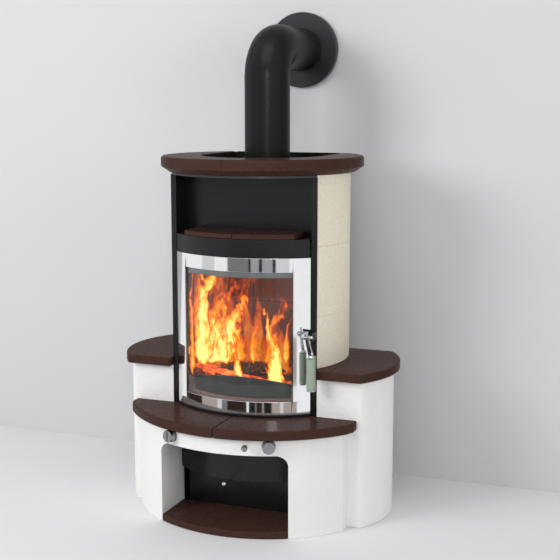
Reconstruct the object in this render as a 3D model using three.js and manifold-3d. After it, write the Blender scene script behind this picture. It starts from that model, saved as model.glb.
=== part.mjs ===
import * as THREE from "three";
import { mergeVertices } from "three/addons/utils/BufferGeometryUtils.js";
import Module from "manifold-3d";

// A tiled wood stove: a round-fronted steel stove clad with stone, standing between two plastered
// plinths with bench tiles, behind a bowed plastered wood niche. Millimetres, +Z up, the front
// faces -Y and the wall stands behind at +Y. The origin is on the floor under the flue axis.

const wasm = await Module();
wasm.setup();

// ---------------------------------------------------------------- driving dimensions

const SEAT = 0.3; // gap where one piece rests on or fits round another
const TILE_JOINT = 0.8; // open joint between two tiles
const STONE_JOINT = 0.6; // open joint between two stone courses

// Stove body, round in plan
const BODY_CENTER_Y = -57;
const STONE_RADIUS = 293;
const STONE_THICKNESS = 30;
const STONE_COURSE = 221;
const CASING_WALL = 3;
const CASING_BACK_Y = 165;
const POST_Y = -214; // plane of the black posts, and of the fronts of the plinths
const POST_INNER_X = 232.5;
const POST_WIDTH = 18;
const SHEET = 3; // steel sheet of posts, liner, fascia and lower front

// Heights of the body
const BASE_PLATE_TOP = 6;
const LOWER_FRONT_BOTTOM = 140;
const SILL_TOP = 359.5;
const DOOR_GAP = 0.5; // between the sill and the foot of the door
const DOOR_TOP = 858.5;
const FASCIA_BOTTOM = 860;
const COMPARTMENT_FLOOR = 916.5;
const COMPARTMENT_ROOF = 1104;
const COMPARTMENT_BACK_Y = -135;
const TRIM_HEIGHT = 6.7;

// Bowed front: door, fascia, sill and lower front share one centre
const FRONT_RADIUS = 352;
const FRONT_END_Y = -217.6; // where the bow ends, at both sides of the door
const SILL_PROJECTION = 4; // sill in front of the door
const SILL_HALF_WIDTH = 240;
const FASCIA_HALF_WIDTH = 228;
const FASCIA_BACK_Y = -200;
const LOWER_FRONT_HALF_WIDTH = 216.5;

// Door
const DOOR_HALF_WIDTH = 231;
const DOOR_DEPTH = 12;
const DOOR_STILE = 46; // widths of the frame round the window
const DOOR_FOOT_RAIL = 42;
const DOOR_HEAD_RAIL = 44.5;
const GLASS_THICKNESS = 4;
const GLASS_OVERLAP = 12;
const RETAINER_DEPTH = 4;
const AIR_WASH_HEIGHT = 18; // the retainer seen below the head rail
const HINGE_X = -222;
const HINGE_SETBACK = 8.67; // hinge axis behind the face of the door
const HINGE_PIN_RADIUS = 3;
const HINGE_PIN_REACH = 9; // into the door

// Handle
const HANDLE_X = 248.5;
const HANDLE_STANDOFF = 35.24; // from the face of the door to the axis of the handle
const HANDLE_PIVOT_Z = 615;
const HANDLE_PIN_RADIUS = 4;
const HANDLE_BALL_RADIUS = 5.5;
const BOSS_LEFT_X = 217;
const BOSS_WIDTH = 11;
const BOSS_RADIUS = 9;
const GRIP_RADIUS = 14.5;
const GRIP_CORE_RADIUS = 6;
const GRIP_TOP = 549;
const GRIP_LENGTH = 100;
const GRIP_CAP = 4;
const STRAP_THICKNESS = 7;
const KEEPER_HALF_HEIGHT = 12;

// Firebox
const FIREBOX_SETBACK = 27; // its face frame behind the face of the door
const FIREBOX_BACK_Y = 118;
const FIREBOX_CORNER_Y = 40; // where the sides turn in towards the back
const FIREBOX_HEADROOM = 8.5; // from its roof to the floor of the warming compartment
const FACE_OPENING_MARGIN = 10; // wider than the window, at each side
const FACE_OPENING_DROP = 26; // from the foot of the window to that of the opening
const GASKET_WIDTH = 10;
const GASKET_MARGIN = 1.5;
const HEARTH_TOP = 405;
const LINING_THICKNESS = 27;
const BAFFLE_DROP = 117; // from the roof of the firebox to the top of its lining
const BACK_LINING_HALF_WIDTH = 110;
const LINING_FRONT_Y = -150;
const BAFFLE_THICKNESS = 22;
const BAFFLE_FRONT_Y = -95;
const GRATE_HALF_WIDTH = 104;
const GRATE_FRONT_Y = -190;
const GRATE_BACK_Y = -10;
const GRATE_THICKNESS = 9;
const GRATE_SLOTS = 7;
const ASH_PAN_HEIGHT = 22;
const ASH_PAN_INSET = 12;
const ASH_PAN_WALL = 1.5;
const GUARD_SETBACK = 10; // behind the face frame
const GUARD_THICKNESS = 5;
const GUARD_HALF_WIDTH = 168;
const GUARD_END_Z = 448;
const GUARD_CROWN_Z = 472;

// Logs: half-round splits of firewood
const LOG_RADIUS = 38;
const LOG_LENGTH = 270;
const FRONT_LOG_Y = -118;
const REAR_LOG_Y = -26;
const TOP_LOG_TURN = 0.42; // radians from the run of the lower logs

// Tiles, plinths and front wall
const SIDE_CENTER_X = 183;
const SIDE_CENTER_Y = -58;
const BENCH_RADIUS = 287;
const BENCH_FRONT_Y = -242;
const BENCH_REAR_Y = 125;
const BENCH_BOTTOM = 477;
const BENCH_TOP = 505.5;
const BENCH_EDGE = 5;
const PLINTH_RADIUS = 267;
const PLINTH_REAR_Y = 100;
const PLINTH_CORNER = 18;
const WALL_CENTER_Y = 9;
const WALL_RADIUS = 443;
const WALL_SIDE_Y = -256; // where the bow of the wall ends at each side
const LINTEL_THICKNESS = 40;
const NICHE_HALF_WIDTH = 217;
const NICHE_TOP = 267;
const NICHE_CORNER = 36;
const NICHE_TILE_TOP = 23;
const BASE_PANEL_Y = -222;
const BASE_PANEL_HALF_WIDTH = 193;
const BASE_PANEL_RETURN = 30;
const LEDGE_OVERHANG = 26;
const LEDGE_SIDE_Y = -258.8;
const LEDGE_CORNER = 16;
const LEDGE_BOTTOM = 321.5;
const LEDGE_TOP = 352.3;
const WARMING_TILE_HALF_WIDTH = 188;
const WARMING_TILE_REAR_Y = -140;
const WARMING_TILE_THICKNESS = 15;

// Top ring
const RING_CENTER_Y = -43;
const RING_RADIUS = 332;
const RING_BOTTOM = 1114.5;
const RING_TOP = 1164.4;
const RING_REAR_Y = 195;
const RING_CHAMFER_WIDTH = 25;
const RING_CHAMFER_HEIGHT = 17.5;
const RING_ROUND = 9;
const RING_OPENING_RADIUS = 203;
const RING_OPENING_Y = -38;
const SHIELD_HALF_WIDTH = 190;
const SHIELD_BOTTOM = 30;
const SHIELD_SHEET = 2;

// Flue
const FLUE_RADIUS = 75;
const FLUE_WALL = 2;
const FLUE_HEIGHT = 1517;
const FLUE_BEND = 105;
const BEND_STEPS = 10;
const WALL_Y = 345;
const COLLAR_WIDTH = 15;
const COLLAR_TOP = 1158;
const COLLAR_SHEET = 3;
const SPIGOT_TOP = 1150;
const ROSETTE_RADIUS = 131;
const ROSETTE_DEPTH = 20;
const ROSETTE_RIM = 4;
const ROSETTE_SHEET = 2;

// Controls on the front wall
const CONTROL_Z = 299;
const AIR_KNOB_X = 163;
const AIR_KNOB_RADIUS = 19.5;
const AIR_KNOB_DEPTH = 22;
const ESCUTCHEON_RADIUS = 21.5;
const ESCUTCHEON_THICKNESS = 2.5;
const SHAFT_RADIUS = 4;
const VALVE_RADIUS = 16;
const VALVE_THICKNESS = 2;
const VALVE_DEPTH = 143; // from the face of the wall to the valve disc
const DAMPER_X = 96;
const DAMPER_KNOB_RADIUS = 10;
const DAMPER_KNOB_DEPTH = 12;
const DAMPER_STANDOFF = 22;
const DAMPER_REACH = 206;
const ROD_RADIUS = 3;

// Air box and its shutter
const INLET_HALF_WIDTH = 60; // air passage from the air box up into the firebox
const INLET_BACK_Y = 60;
const INLET_COVER = 8; // slab left over the passage, below the seat of the grate
const AIR_BOX_HALF_WIDTH = 150;
const AIR_BOX_FRONT_Y = -252;
const AIR_BOX_BACK_Y = 75;
const AIR_BOX_WALL = 2;
const PULL_Z = 150;
const PULL_BALL_RADIUS = 7.5;
const PULL_BALL_Y = -373;
const PULL_BORE_BACK_Y = -150;
const SHUTTER_HALF_WIDTH = 45;
const SHUTTER_FRONT_Y = -266;
const SHUTTER_LENGTH = 70;
const SHUTTER_THICKNESS = 3;
const SHUTTER_OVERLAP = 12;
const RUNNER_HALF_GAP = 60;

// Derived places
const FRONT_CENTER_Y = FRONT_END_Y + Math.sqrt(FRONT_RADIUS ** 2 - DOOR_HALF_WIDTH ** 2);
const frontFaceY = (x) => FRONT_CENTER_Y - Math.sqrt(FRONT_RADIUS ** 2 - x ** 2);
const SILL_RADIUS = FRONT_RADIUS + SILL_PROJECTION;
const FIREBOX_RADIUS = FRONT_RADIUS - FIREBOX_SETBACK;
const GUARD_RADIUS = FIREBOX_RADIUS - GUARD_SETBACK;
const HINGE_Y = frontFaceY(HINGE_X) + HINGE_SETBACK;
const HANDLE_PIVOT_Y = frontFaceY(BOSS_LEFT_X + BOSS_WIDTH / 2) - HANDLE_STANDOFF;
const DOOR_BOTTOM = SILL_TOP + DOOR_GAP;
const WINDOW_HALF_WIDTH = DOOR_HALF_WIDTH - DOOR_STILE;
const WINDOW_BOTTOM = DOOR_BOTTOM + DOOR_FOOT_RAIL;
const WINDOW_TOP = DOOR_TOP - DOOR_HEAD_RAIL;
const AIR_WASH_BOTTOM = WINDOW_TOP - AIR_WASH_HEIGHT;
const FACE_OPENING_HALF_WIDTH = WINDOW_HALF_WIDTH + FACE_OPENING_MARGIN;
const FACE_OPENING_BOTTOM = WINDOW_BOTTOM - FACE_OPENING_DROP;
const FACE_OPENING_TOP = WINDOW_TOP + GLASS_OVERLAP;
const FIREBOX_TOP = COMPARTMENT_FLOOR - SHEET - FIREBOX_HEADROOM;
const LINING_TOP = FIREBOX_TOP - BAFFLE_DROP;
const WALL_HALF_WIDTH = Math.sqrt(WALL_RADIUS ** 2 - (WALL_SIDE_Y - WALL_CENTER_Y) ** 2);
const LEDGE_RADIUS = WALL_RADIUS + LEDGE_OVERHANG;
const LEDGE_HALF_WIDTH = Math.sqrt(LEDGE_RADIUS ** 2 - (LEDGE_SIDE_Y - WALL_CENTER_Y) ** 2);
const CLEAR = 10; // how far a cutting form runs past the face it cuts
const STONE_BACK_RADIUS = STONE_RADIUS - STONE_THICKNESS;
const CASING_RADIUS = STONE_BACK_RADIUS - SEAT;
const POST_OUTER_X = POST_INNER_X + POST_WIDTH;
const WEB_OUTER_X = POST_INNER_X + SHEET;
const POST_BACK_Y = POST_Y + SHEET;
const BODY_BOTTOM = LEDGE_TOP + SEAT;
const CASING_TOP = COMPARTMENT_ROOF + SHEET;
const TRIM_BOTTOM = CASING_TOP + SEAT;
const STONE_TOP = RING_BOTTOM - SEAT;
const SIDE_INNER_X = POST_OUTER_X + SEAT;
const STRAP_RIGHT_X = HANDLE_X - HANDLE_BALL_RADIUS;
const SHIELD_Y = RING_REAR_Y + SEAT;
const SKIN_INNER_RADIUS = FRONT_RADIUS - SHEET;
const GLASS_OUTER_RADIUS = SKIN_INNER_RADIUS - SEAT;
const GLASS_INNER_RADIUS = GLASS_OUTER_RADIUS - GLASS_THICKNESS;
const RETAINER_OUTER_RADIUS = GLASS_INNER_RADIUS - SEAT;
const FIREBOX_HALF_WIDTH = POST_INNER_X - SEAT;
const FIREBOX_FLOOR = BODY_BOTTOM + SHEET;
const FLUE_INNER = FLUE_RADIUS - FLUE_WALL;
const SPIGOT_RADIUS = FLUE_INNER - SEAT;
const TOP_PLATE_TOP = TRIM_BOTTOM + SHEET;
const BEND_Z = FLUE_HEIGHT - FLUE_BEND;

// ---------------------------------------------------------------- solids

function toSolid(geometry) {
  const bare = geometry.clone();
  bare.deleteAttribute("normal");
  bare.deleteAttribute("uv");
  const merged = mergeVertices(bare, 1e-4);
  return new wasm.Manifold(new wasm.Mesh({
    numProp: 3,
    vertProperties: new Float32Array(merged.attributes.position.array),
    triVerts: new Uint32Array(merged.index.array),
  }));
}

function toGeometry(solid) {
  const mesh = solid.getMesh();
  const geometry = new THREE.BufferGeometry();
  geometry.setAttribute("position", new THREE.BufferAttribute(mesh.vertProperties, 3));
  geometry.setIndex(new THREE.BufferAttribute(mesh.triVerts, 1));
  return geometry;
}

function cut(geometry, ...tools) {
  const solid = tools.reduce((left, tool) => left.subtract(toSolid(tool)), toSolid(geometry));
  return toGeometry(solid);
}

function join(geometry, ...others) {
  const solid = others.reduce((left, other) => left.add(toSolid(other)), toSolid(geometry));
  return toGeometry(solid);
}

function common(geometry, region) {
  return toGeometry(toSolid(geometry).intersect(toSolid(region)));
}

// An outline drawn in plan, raised from one height to another.
function prism(plan, bottom, top, curveSegments = 12) {
  const depth = top - bottom;
  const geometry = new THREE.ExtrudeGeometry(plan, { depth, bevelEnabled: false, curveSegments });
  return geometry.translate(0, 0, bottom);
}

// A tile: an outline in plan with its top and bottom edges rounded.
function tile(plan, bottom, top, edge, curveSegments = 12) {
  const geometry = new THREE.ExtrudeGeometry(plan, {
    depth: top - bottom - 2 * edge,
    bevelEnabled: true,
    bevelThickness: edge,
    bevelSize: edge,
    bevelOffset: -edge,
    bevelSegments: 2,
    curveSegments,
  });
  return geometry.translate(0, 0, bottom + edge);
}

// An outline drawn in elevation, seen from the front, carried from one depth to another.
function frontPrism(outline, frontY, backY, curveSegments = 6) {
  const depth = backY - frontY;
  const geometry = new THREE.ExtrudeGeometry(outline, { depth, bevelEnabled: false, curveSegments });
  return geometry.rotateX(Math.PI / 2).translate(0, backY, 0);
}

function box(minX, maxX, minY, maxY, minZ, maxZ) {
  const geometry = new THREE.BoxGeometry(maxX - minX, maxY - minY, maxZ - minZ);
  return geometry.translate((minX + maxX) / 2, (minY + maxY) / 2, (minZ + maxZ) / 2);
}

// A profile of [radius, height] pairs turned about the Z axis. It closes on itself or on the axis.
function turned(profile, sides = 32) {
  const points = profile.map(([radius, height]) => new THREE.Vector2(radius, height));
  return new THREE.LatheGeometry(points, sides).rotateX(Math.PI / 2);
}

function cylinder(radius, bottom, top, sides = 24) {
  return turned([[0, bottom], [radius, bottom], [radius, top], [0, top]], sides);
}

function tube(outer, inner, bottom, top, sides = 32) {
  return turned([[inner, bottom], [outer, bottom], [outer, top], [inner, top], [inner, bottom]], sides);
}

function ball(radius, x, y, z) {
  return new THREE.SphereGeometry(radius, 12, 8).translate(x, y, z);
}

function mirrored(geometry) {
  const copy = toGeometry(toSolid(geometry)).scale(-1, 1, 1);
  const index = copy.index.array;
  for (let i = 0; i < index.length; i += 3) {
    [index[i], index[i + 1]] = [index[i + 1], index[i]];
  }
  return copy;
}

// Moves a form made about the Z axis so that this axis starts at a point and runs along a direction.
function aim(geometry, point, direction) {
  const turn = new THREE.Quaternion().setFromUnitVectors(new THREE.Vector3(0, 0, 1), direction);
  return geometry.applyQuaternion(turn).translate(point.x, point.y, point.z);
}

// ---------------------------------------------------------------- plans

// Bowed in front, straight behind.
function bowPlan(centerY, radius, halfWidth, backY) {
  const reach = Math.asin(halfWidth / radius);
  const plan = new THREE.Shape();
  plan.absarc(0, centerY, radius, -Math.PI / 2 - reach, -Math.PI / 2 + reach, false);
  plan.lineTo(halfWidth, backY);
  plan.lineTo(-halfWidth, backY);
  return plan;
}

// A band bowed in front and behind, cut off at both sides.
function bandPlan(centerY, outer, inner, halfWidth) {
  const outerReach = Math.asin(halfWidth / outer);
  const innerReach = Math.asin(halfWidth / inner);
  const plan = new THREE.Shape();
  plan.absarc(0, centerY, outer, -Math.PI / 2 - outerReach, -Math.PI / 2 + outerReach, false);
  plan.absarc(0, centerY, inner, -Math.PI / 2 + innerReach, -Math.PI / 2 - innerReach, true);
  return plan;
}

// Right half of a bowed tile, from the joint in the middle to its end.
function halfBowPlan(centerY, radius, halfWidth, backY) {
  const fromMiddle = TILE_JOINT / 2;
  const plan = new THREE.Shape();
  const start = -Math.PI / 2 + Math.asin(fromMiddle / radius);
  const end = -Math.PI / 2 + Math.asin(halfWidth / radius);
  plan.absarc(0, centerY, radius, start, end, false);
  plan.lineTo(halfWidth, backY);
  plan.lineTo(fromMiddle, backY);
  return plan;
}

// Angle on a circle, on its right-hand side, where it reaches a given depth.
const angleAtY = (centerY, radius, y) => Math.asin((y - centerY) / radius);

// The stone cladding of the right side: bowed outside, its inner face flat behind the post.
function stonePlan() {
  const innerX = WEB_OUTER_X + SEAT;
  const frontY = POST_BACK_Y + SEAT;
  const plan = new THREE.Shape();
  const outerStart = angleAtY(BODY_CENTER_Y, STONE_RADIUS, frontY);
  const outerEnd = angleAtY(BODY_CENTER_Y, STONE_RADIUS, CASING_BACK_Y);
  plan.absarc(0, BODY_CENTER_Y, STONE_RADIUS, outerStart, outerEnd, false);
  const innerStart = angleAtY(BODY_CENTER_Y, STONE_BACK_RADIUS, CASING_BACK_Y);
  const innerEnd = -Math.acos(innerX / STONE_BACK_RADIUS);
  plan.absarc(0, BODY_CENTER_Y, STONE_BACK_RADIUS, innerStart, innerEnd, true);
  plan.lineTo(innerX, frontY);
  return plan;
}

// Bench tiles and plinths: bowed outside, cut round the casing inside.
function sideUnitPlan(radius, frontY, rearY, innerCorner, outerCorner) {
  const inner = CASING_RADIUS + SEAT;
  const cornerAngle = angleAtY(SIDE_CENTER_Y, radius, frontY);
  const cornerX = SIDE_CENTER_X + radius * Math.cos(cornerAngle);
  const start = cornerAngle + outerCorner / radius;
  const startX = SIDE_CENTER_X + radius * Math.cos(start);
  const startY = SIDE_CENTER_Y + radius * Math.sin(start);
  const plan = new THREE.Shape();
  plan.absarc(SIDE_CENTER_X, SIDE_CENTER_Y, radius, start, angleAtY(SIDE_CENTER_Y, radius, rearY), false);
  const innerStart = angleAtY(BODY_CENTER_Y, inner, rearY);
  plan.absarc(0, BODY_CENTER_Y, inner, innerStart, -Math.acos(SIDE_INNER_X / inner), true);
  plan.lineTo(SIDE_INNER_X, frontY + innerCorner);
  plan.quadraticCurveTo(SIDE_INNER_X, frontY, SIDE_INNER_X + innerCorner, frontY);
  plan.lineTo(cornerX - outerCorner, frontY);
  plan.quadraticCurveTo(cornerX, frontY, startX, startY);
  return plan;
}

// Right half of the ledge: it reaches back to the plinth and is cut round the lower front.
function ledgePlan() {
  const rearY = POST_Y - SEAT;
  const cutRadius = FRONT_RADIUS + SEAT;
  const cutX = LOWER_FRONT_HALF_WIDTH + SEAT;
  const fromMiddle = TILE_JOINT / 2;
  const end = -Math.PI / 2 + Math.asin(LEDGE_HALF_WIDTH / LEDGE_RADIUS);
  const arcEnd = end - LEDGE_CORNER / LEDGE_RADIUS;
  const arcStart = -Math.PI / 2 + Math.asin(fromMiddle / LEDGE_RADIUS);
  const plan = new THREE.Shape();
  plan.absarc(0, WALL_CENTER_Y, LEDGE_RADIUS, arcStart, arcEnd, false);
  plan.quadraticCurveTo(LEDGE_HALF_WIDTH, LEDGE_SIDE_Y, LEDGE_HALF_WIDTH, LEDGE_SIDE_Y + LEDGE_CORNER);
  plan.lineTo(LEDGE_HALF_WIDTH, rearY);
  plan.lineTo(cutX, rearY);
  const cutStart = -Math.PI / 2 + Math.asin(cutX / cutRadius);
  const cutEnd = -Math.PI / 2 + Math.asin(fromMiddle / cutRadius);
  plan.absarc(0, FRONT_CENTER_Y, cutRadius, cutStart, cutEnd, true);
  return plan;
}

// The firebox: bowed in front, its rear corners cut off at 45 degrees, drawn in by an inset.
function fireboxPlan(inset, frontRadius = FIREBOX_RADIUS - inset) {
  const half = FIREBOX_HALF_WIDTH - inset;
  const cornerInset = inset * Math.tan(Math.PI / 8);
  const backY = FIREBOX_BACK_Y - inset;
  const backHalf = FIREBOX_HALF_WIDTH - (FIREBOX_BACK_Y - FIREBOX_CORNER_Y) - cornerInset;
  const reach = Math.asin(half / frontRadius);
  const plan = new THREE.Shape();
  plan.absarc(0, FRONT_CENTER_Y, frontRadius, -Math.PI / 2 - reach, -Math.PI / 2 + reach, false);
  plan.lineTo(half, FIREBOX_CORNER_Y - cornerInset);
  plan.lineTo(backHalf, backY);
  plan.lineTo(-backHalf, backY);
  plan.lineTo(-half, FIREBOX_CORNER_Y - cornerInset);
  return plan;
}

// The steel casing: two bowed sides and a flat back, open in front.
function casingPlan() {
  const inner = CASING_RADIUS - CASING_WALL;
  const frontX = WEB_OUTER_X + SEAT;
  const outerFront = Math.acos(frontX / CASING_RADIUS);
  const innerFront = Math.acos(frontX / inner);
  const outerBack = angleAtY(BODY_CENTER_Y, CASING_RADIUS, CASING_BACK_Y);
  const innerBack = angleAtY(BODY_CENTER_Y, inner, CASING_BACK_Y - CASING_WALL);
  const plan = new THREE.Shape();
  plan.absarc(0, BODY_CENTER_Y, CASING_RADIUS, -outerFront, outerBack, false);
  plan.absarc(0, BODY_CENTER_Y, CASING_RADIUS, Math.PI - outerBack, Math.PI + outerFront, false);
  plan.absarc(0, BODY_CENTER_Y, inner, Math.PI + innerFront, Math.PI - innerBack, true);
  plan.absarc(0, BODY_CENTER_Y, inner, innerBack, -innerFront, true);
  return plan;
}

// The body in plan, filled: bowed sides, a straight front and a straight back.
function bodyPlan(radius, frontY, backY) {
  const front = angleAtY(BODY_CENTER_Y, radius, frontY);
  const back = angleAtY(BODY_CENTER_Y, radius, backY);
  const plan = new THREE.Shape();
  plan.absarc(0, BODY_CENTER_Y, radius, front, back, false);
  plan.absarc(0, BODY_CENTER_Y, radius, Math.PI - back, Math.PI - front, false);
  return plan;
}

// ---------------------------------------------------------------- tiles, stone and plaster

function topRingHalf() {
  const roundSteps = 3;
  const profile = [
    [RING_OPENING_RADIUS / 2, RING_BOTTOM],
    [RING_RADIUS - RING_CHAMFER_WIDTH, RING_BOTTOM],
    [RING_RADIUS, RING_BOTTOM + RING_CHAMFER_HEIGHT],
  ];
  for (let i = 0; i <= roundSteps; i++) {
    const angle = (i / roundSteps) * Math.PI / 2;
    const radius = RING_RADIUS - RING_ROUND * (1 - Math.cos(angle));
    profile.push([radius, RING_TOP - RING_ROUND * (1 - Math.sin(angle))]);
  }
  profile.push([RING_OPENING_RADIUS / 2, RING_TOP], [RING_OPENING_RADIUS / 2, RING_BOTTOM]);
  const ring = turned(profile, 72).translate(0, RING_CENTER_Y, 0);
  const opening = new THREE.Shape();
  opening.absarc(0, RING_OPENING_Y, RING_OPENING_RADIUS, Math.PI, 2 * Math.PI, false);
  opening.lineTo(RING_OPENING_RADIUS, 2 * RING_RADIUS);
  opening.lineTo(-RING_OPENING_RADIUS, 2 * RING_RADIUS);
  const right = box(TILE_JOINT / 2, 2 * RING_RADIUS, -2 * RING_RADIUS, RING_REAR_Y, 0, 2 * RING_TOP);
  return cut(common(ring, right), prism(opening, 0, 2 * RING_TOP, 10));
}

function stoneCourse(bottom, top) {
  return prism(stonePlan(), bottom, top, 12);
}

function benchTile() {
  const plan = sideUnitPlan(BENCH_RADIUS, BENCH_FRONT_Y, BENCH_REAR_Y, 11, 3);
  return tile(plan, BENCH_BOTTOM, BENCH_TOP, BENCH_EDGE, 7);
}

function plinth() {
  const plan = sideUnitPlan(PLINTH_RADIUS, POST_Y, PLINTH_REAR_Y, 2, PLINTH_CORNER);
  return prism(plan, 0, BENCH_BOTTOM - SEAT, 8);
}

function ledgeTile() {
  return tile(ledgePlan(), LEDGE_BOTTOM, LEDGE_TOP, BENCH_EDGE, 8);
}

function warmingTile() {
  const plan = halfBowPlan(FRONT_CENTER_Y, FRONT_RADIUS - 1, WARMING_TILE_HALF_WIDTH, WARMING_TILE_REAR_Y);
  const bottom = COMPARTMENT_FLOOR + SEAT;
  return tile(plan, bottom, bottom + WARMING_TILE_THICKNESS, 3, 7);
}

function nicheFloorTile() {
  const plan = bowPlan(WALL_CENTER_Y, WALL_RADIUS, NICHE_HALF_WIDTH - 1, BASE_PANEL_Y - SEAT);
  return tile(plan, 0, NICHE_TILE_TOP, 4, 8);
}

function frontBaseWall() {
  const rearY = POST_Y - SEAT;
  const wallPlan = bowPlan(WALL_CENTER_Y, WALL_RADIUS, WALL_HALF_WIDTH, rearY);
  const wall = prism(wallPlan, 0, LEDGE_BOTTOM - SEAT, 14);
  const cornerX = NICHE_HALF_WIDTH - NICHE_CORNER;
  const cornerZ = NICHE_TOP - NICHE_CORNER;
  const niche = new THREE.Shape();
  niche.moveTo(-NICHE_HALF_WIDTH, -CLEAR);
  niche.lineTo(NICHE_HALF_WIDTH, -CLEAR);
  niche.lineTo(NICHE_HALF_WIDTH, cornerZ);
  niche.absarc(cornerX, cornerZ, NICHE_CORNER, 0, Math.PI / 2, false);
  niche.absarc(-cornerX, cornerZ, NICHE_CORNER, Math.PI / 2, Math.PI, false);
  const cavity = bowPlan(WALL_CENTER_Y, WALL_RADIUS - LINTEL_THICKNESS, NICHE_HALF_WIDTH, 0);
  return cut(
    wall,
    frontPrism(niche, -2 * WALL_RADIUS, 0),
    prism(cavity, -CLEAR, LEDGE_TOP, 8),
    ...shaftHoles(),
  );
}

// ---------------------------------------------------------------- steel body

// The foot of the body: a floor plate with a folded front panel welded on.
function pedestal() {
  const plate = prism(bodyPlan(CASING_RADIUS, BASE_PANEL_Y, CASING_BACK_Y), 0, BASE_PLATE_TOP, 10);
  const top = LOWER_FRONT_BOTTOM - SEAT;
  const halfWidth = BASE_PANEL_HALF_WIDTH;
  const backY = BASE_PANEL_Y + BASE_PANEL_RETURN;
  const outer = box(-halfWidth, halfWidth, BASE_PANEL_Y, backY, 1, top);
  const innerHalf = halfWidth - SHEET;
  const inside = box(-innerHalf, innerHalf, BASE_PANEL_Y + SHEET, backY + CLEAR, 0, top + CLEAR);
  return join(plate, cut(outer, inside));
}

function casing() {
  return prism(casingPlan(), BASE_PLATE_TOP + SEAT, CASING_TOP, 14);
}

function lowerFront() {
  const outer = bowPlan(FRONT_CENTER_Y, FRONT_RADIUS, LOWER_FRONT_HALF_WIDTH, POST_Y - SEAT);
  const inner = bowPlan(FRONT_CENTER_Y, SKIN_INNER_RADIUS, LOWER_FRONT_HALF_WIDTH - SHEET, 0);
  return cut(
    prism(outer, LOWER_FRONT_BOTTOM, LEDGE_TOP),
    prism(inner, LOWER_FRONT_BOTTOM + SHEET, LEDGE_TOP - SHEET),
    ...shaftHoles(),
  );
}

// The right post: an L of sheet steel, its web is the side of the warming compartment.
function sideFrame() {
  const flange = box(POST_INNER_X, POST_OUTER_X, POST_Y, POST_BACK_Y, BODY_BOTTOM, CASING_TOP);
  const webBackY = COMPARTMENT_BACK_Y + SHEET;
  const web = box(POST_INNER_X, WEB_OUTER_X, POST_Y, webBackY, BODY_BOTTOM, CASING_TOP);
  return join(flange, web);
}

// The sill carries the lower hinge pin of the door.
function sill() {
  const band = bandPlan(FRONT_CENTER_Y, SILL_RADIUS, FIREBOX_RADIUS + SEAT, SILL_HALF_WIDTH);
  const inFront = box(-SILL_HALF_WIDTH, SILL_HALF_WIDTH, -2 * SILL_RADIUS, POST_Y - SEAT, 0, SILL_TOP);
  const between = box(-FIREBOX_HALF_WIDTH, FIREBOX_HALF_WIDTH, -2 * SILL_RADIUS, FASCIA_BACK_Y, 0, SILL_TOP);
  const bar = common(prism(band, BODY_BOTTOM, SILL_TOP), join(inFront, between));
  return join(bar, hingePin(BODY_BOTTOM, DOOR_BOTTOM + HINGE_PIN_REACH));
}

// The fascia is folded from one sheet. The upper hinge pin of the door is welded into it.
function fascia() {
  const outer = bowPlan(FRONT_CENTER_Y, FRONT_RADIUS, FASCIA_HALF_WIDTH, FASCIA_BACK_Y);
  const inner = bowPlan(FRONT_CENTER_Y, SKIN_INNER_RADIUS, FASCIA_HALF_WIDTH - SHEET, 0);
  const firebox = bowPlan(FRONT_CENTER_Y, FIREBOX_RADIUS + SEAT, FIREBOX_HALF_WIDTH, 0);
  const sheet = cut(
    prism(outer, FASCIA_BOTTOM, COMPARTMENT_FLOOR),
    prism(inner, FASCIA_BOTTOM + SHEET, COMPARTMENT_FLOOR - SHEET),
    prism(firebox, 0, FIREBOX_TOP + SEAT),
  );
  return join(sheet, hingePin(DOOR_TOP - HINGE_PIN_REACH, FASCIA_BOTTOM + SHEET));
}

// Floor, back and roof of the warming compartment, folded from one sheet.
function compartmentLiner() {
  const floorFrontY = FASCIA_BACK_Y + SEAT;
  const roofFrontY = POST_BACK_Y + SEAT;
  const backY = COMPARTMENT_BACK_Y + SHEET;
  const halfWidth = POST_INNER_X - SEAT;
  return join(
    box(-halfWidth, halfWidth, floorFrontY, backY, COMPARTMENT_FLOOR - SHEET, COMPARTMENT_FLOOR),
    box(-halfWidth, halfWidth, COMPARTMENT_BACK_Y, backY, COMPARTMENT_FLOOR - SHEET, CASING_TOP),
    box(-halfWidth, halfWidth, roofFrontY, backY, COMPARTMENT_ROOF, CASING_TOP),
  );
}

function topTrim() {
  const backY = POST_BACK_Y;
  const halfWidth = Math.sqrt(STONE_RADIUS ** 2 - (backY - BODY_CENTER_Y) ** 2);
  const plan = bowPlan(BODY_CENTER_Y, STONE_RADIUS, halfWidth, backY);
  return prism(plan, TRIM_BOTTOM, TRIM_BOTTOM + TRIM_HEIGHT, 12);
}

// The lid of the body, with the collar that the foot of the flue pipe stands in.
function topPlate() {
  const plan = bodyPlan(CASING_RADIUS, POST_BACK_Y + SEAT, CASING_BACK_Y);
  const inner = FLUE_RADIUS + SEAT;
  const collar = turned([
    [inner, TRIM_BOTTOM],
    [inner + COLLAR_WIDTH, TRIM_BOTTOM],
    [inner + COLLAR_WIDTH, TOP_PLATE_TOP + COLLAR_SHEET],
    [inner + COLLAR_SHEET, TOP_PLATE_TOP + COLLAR_SHEET],
    [inner + COLLAR_SHEET, COLLAR_TOP],
    [inner, COLLAR_TOP],
    [inner, TRIM_BOTTOM],
  ], 32);
  const plate = cut(prism(plan, TRIM_BOTTOM, TOP_PLATE_TOP), cylinder(FLUE_INNER, 0, 2 * RING_TOP, 32));
  return join(plate, collar);
}

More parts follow.
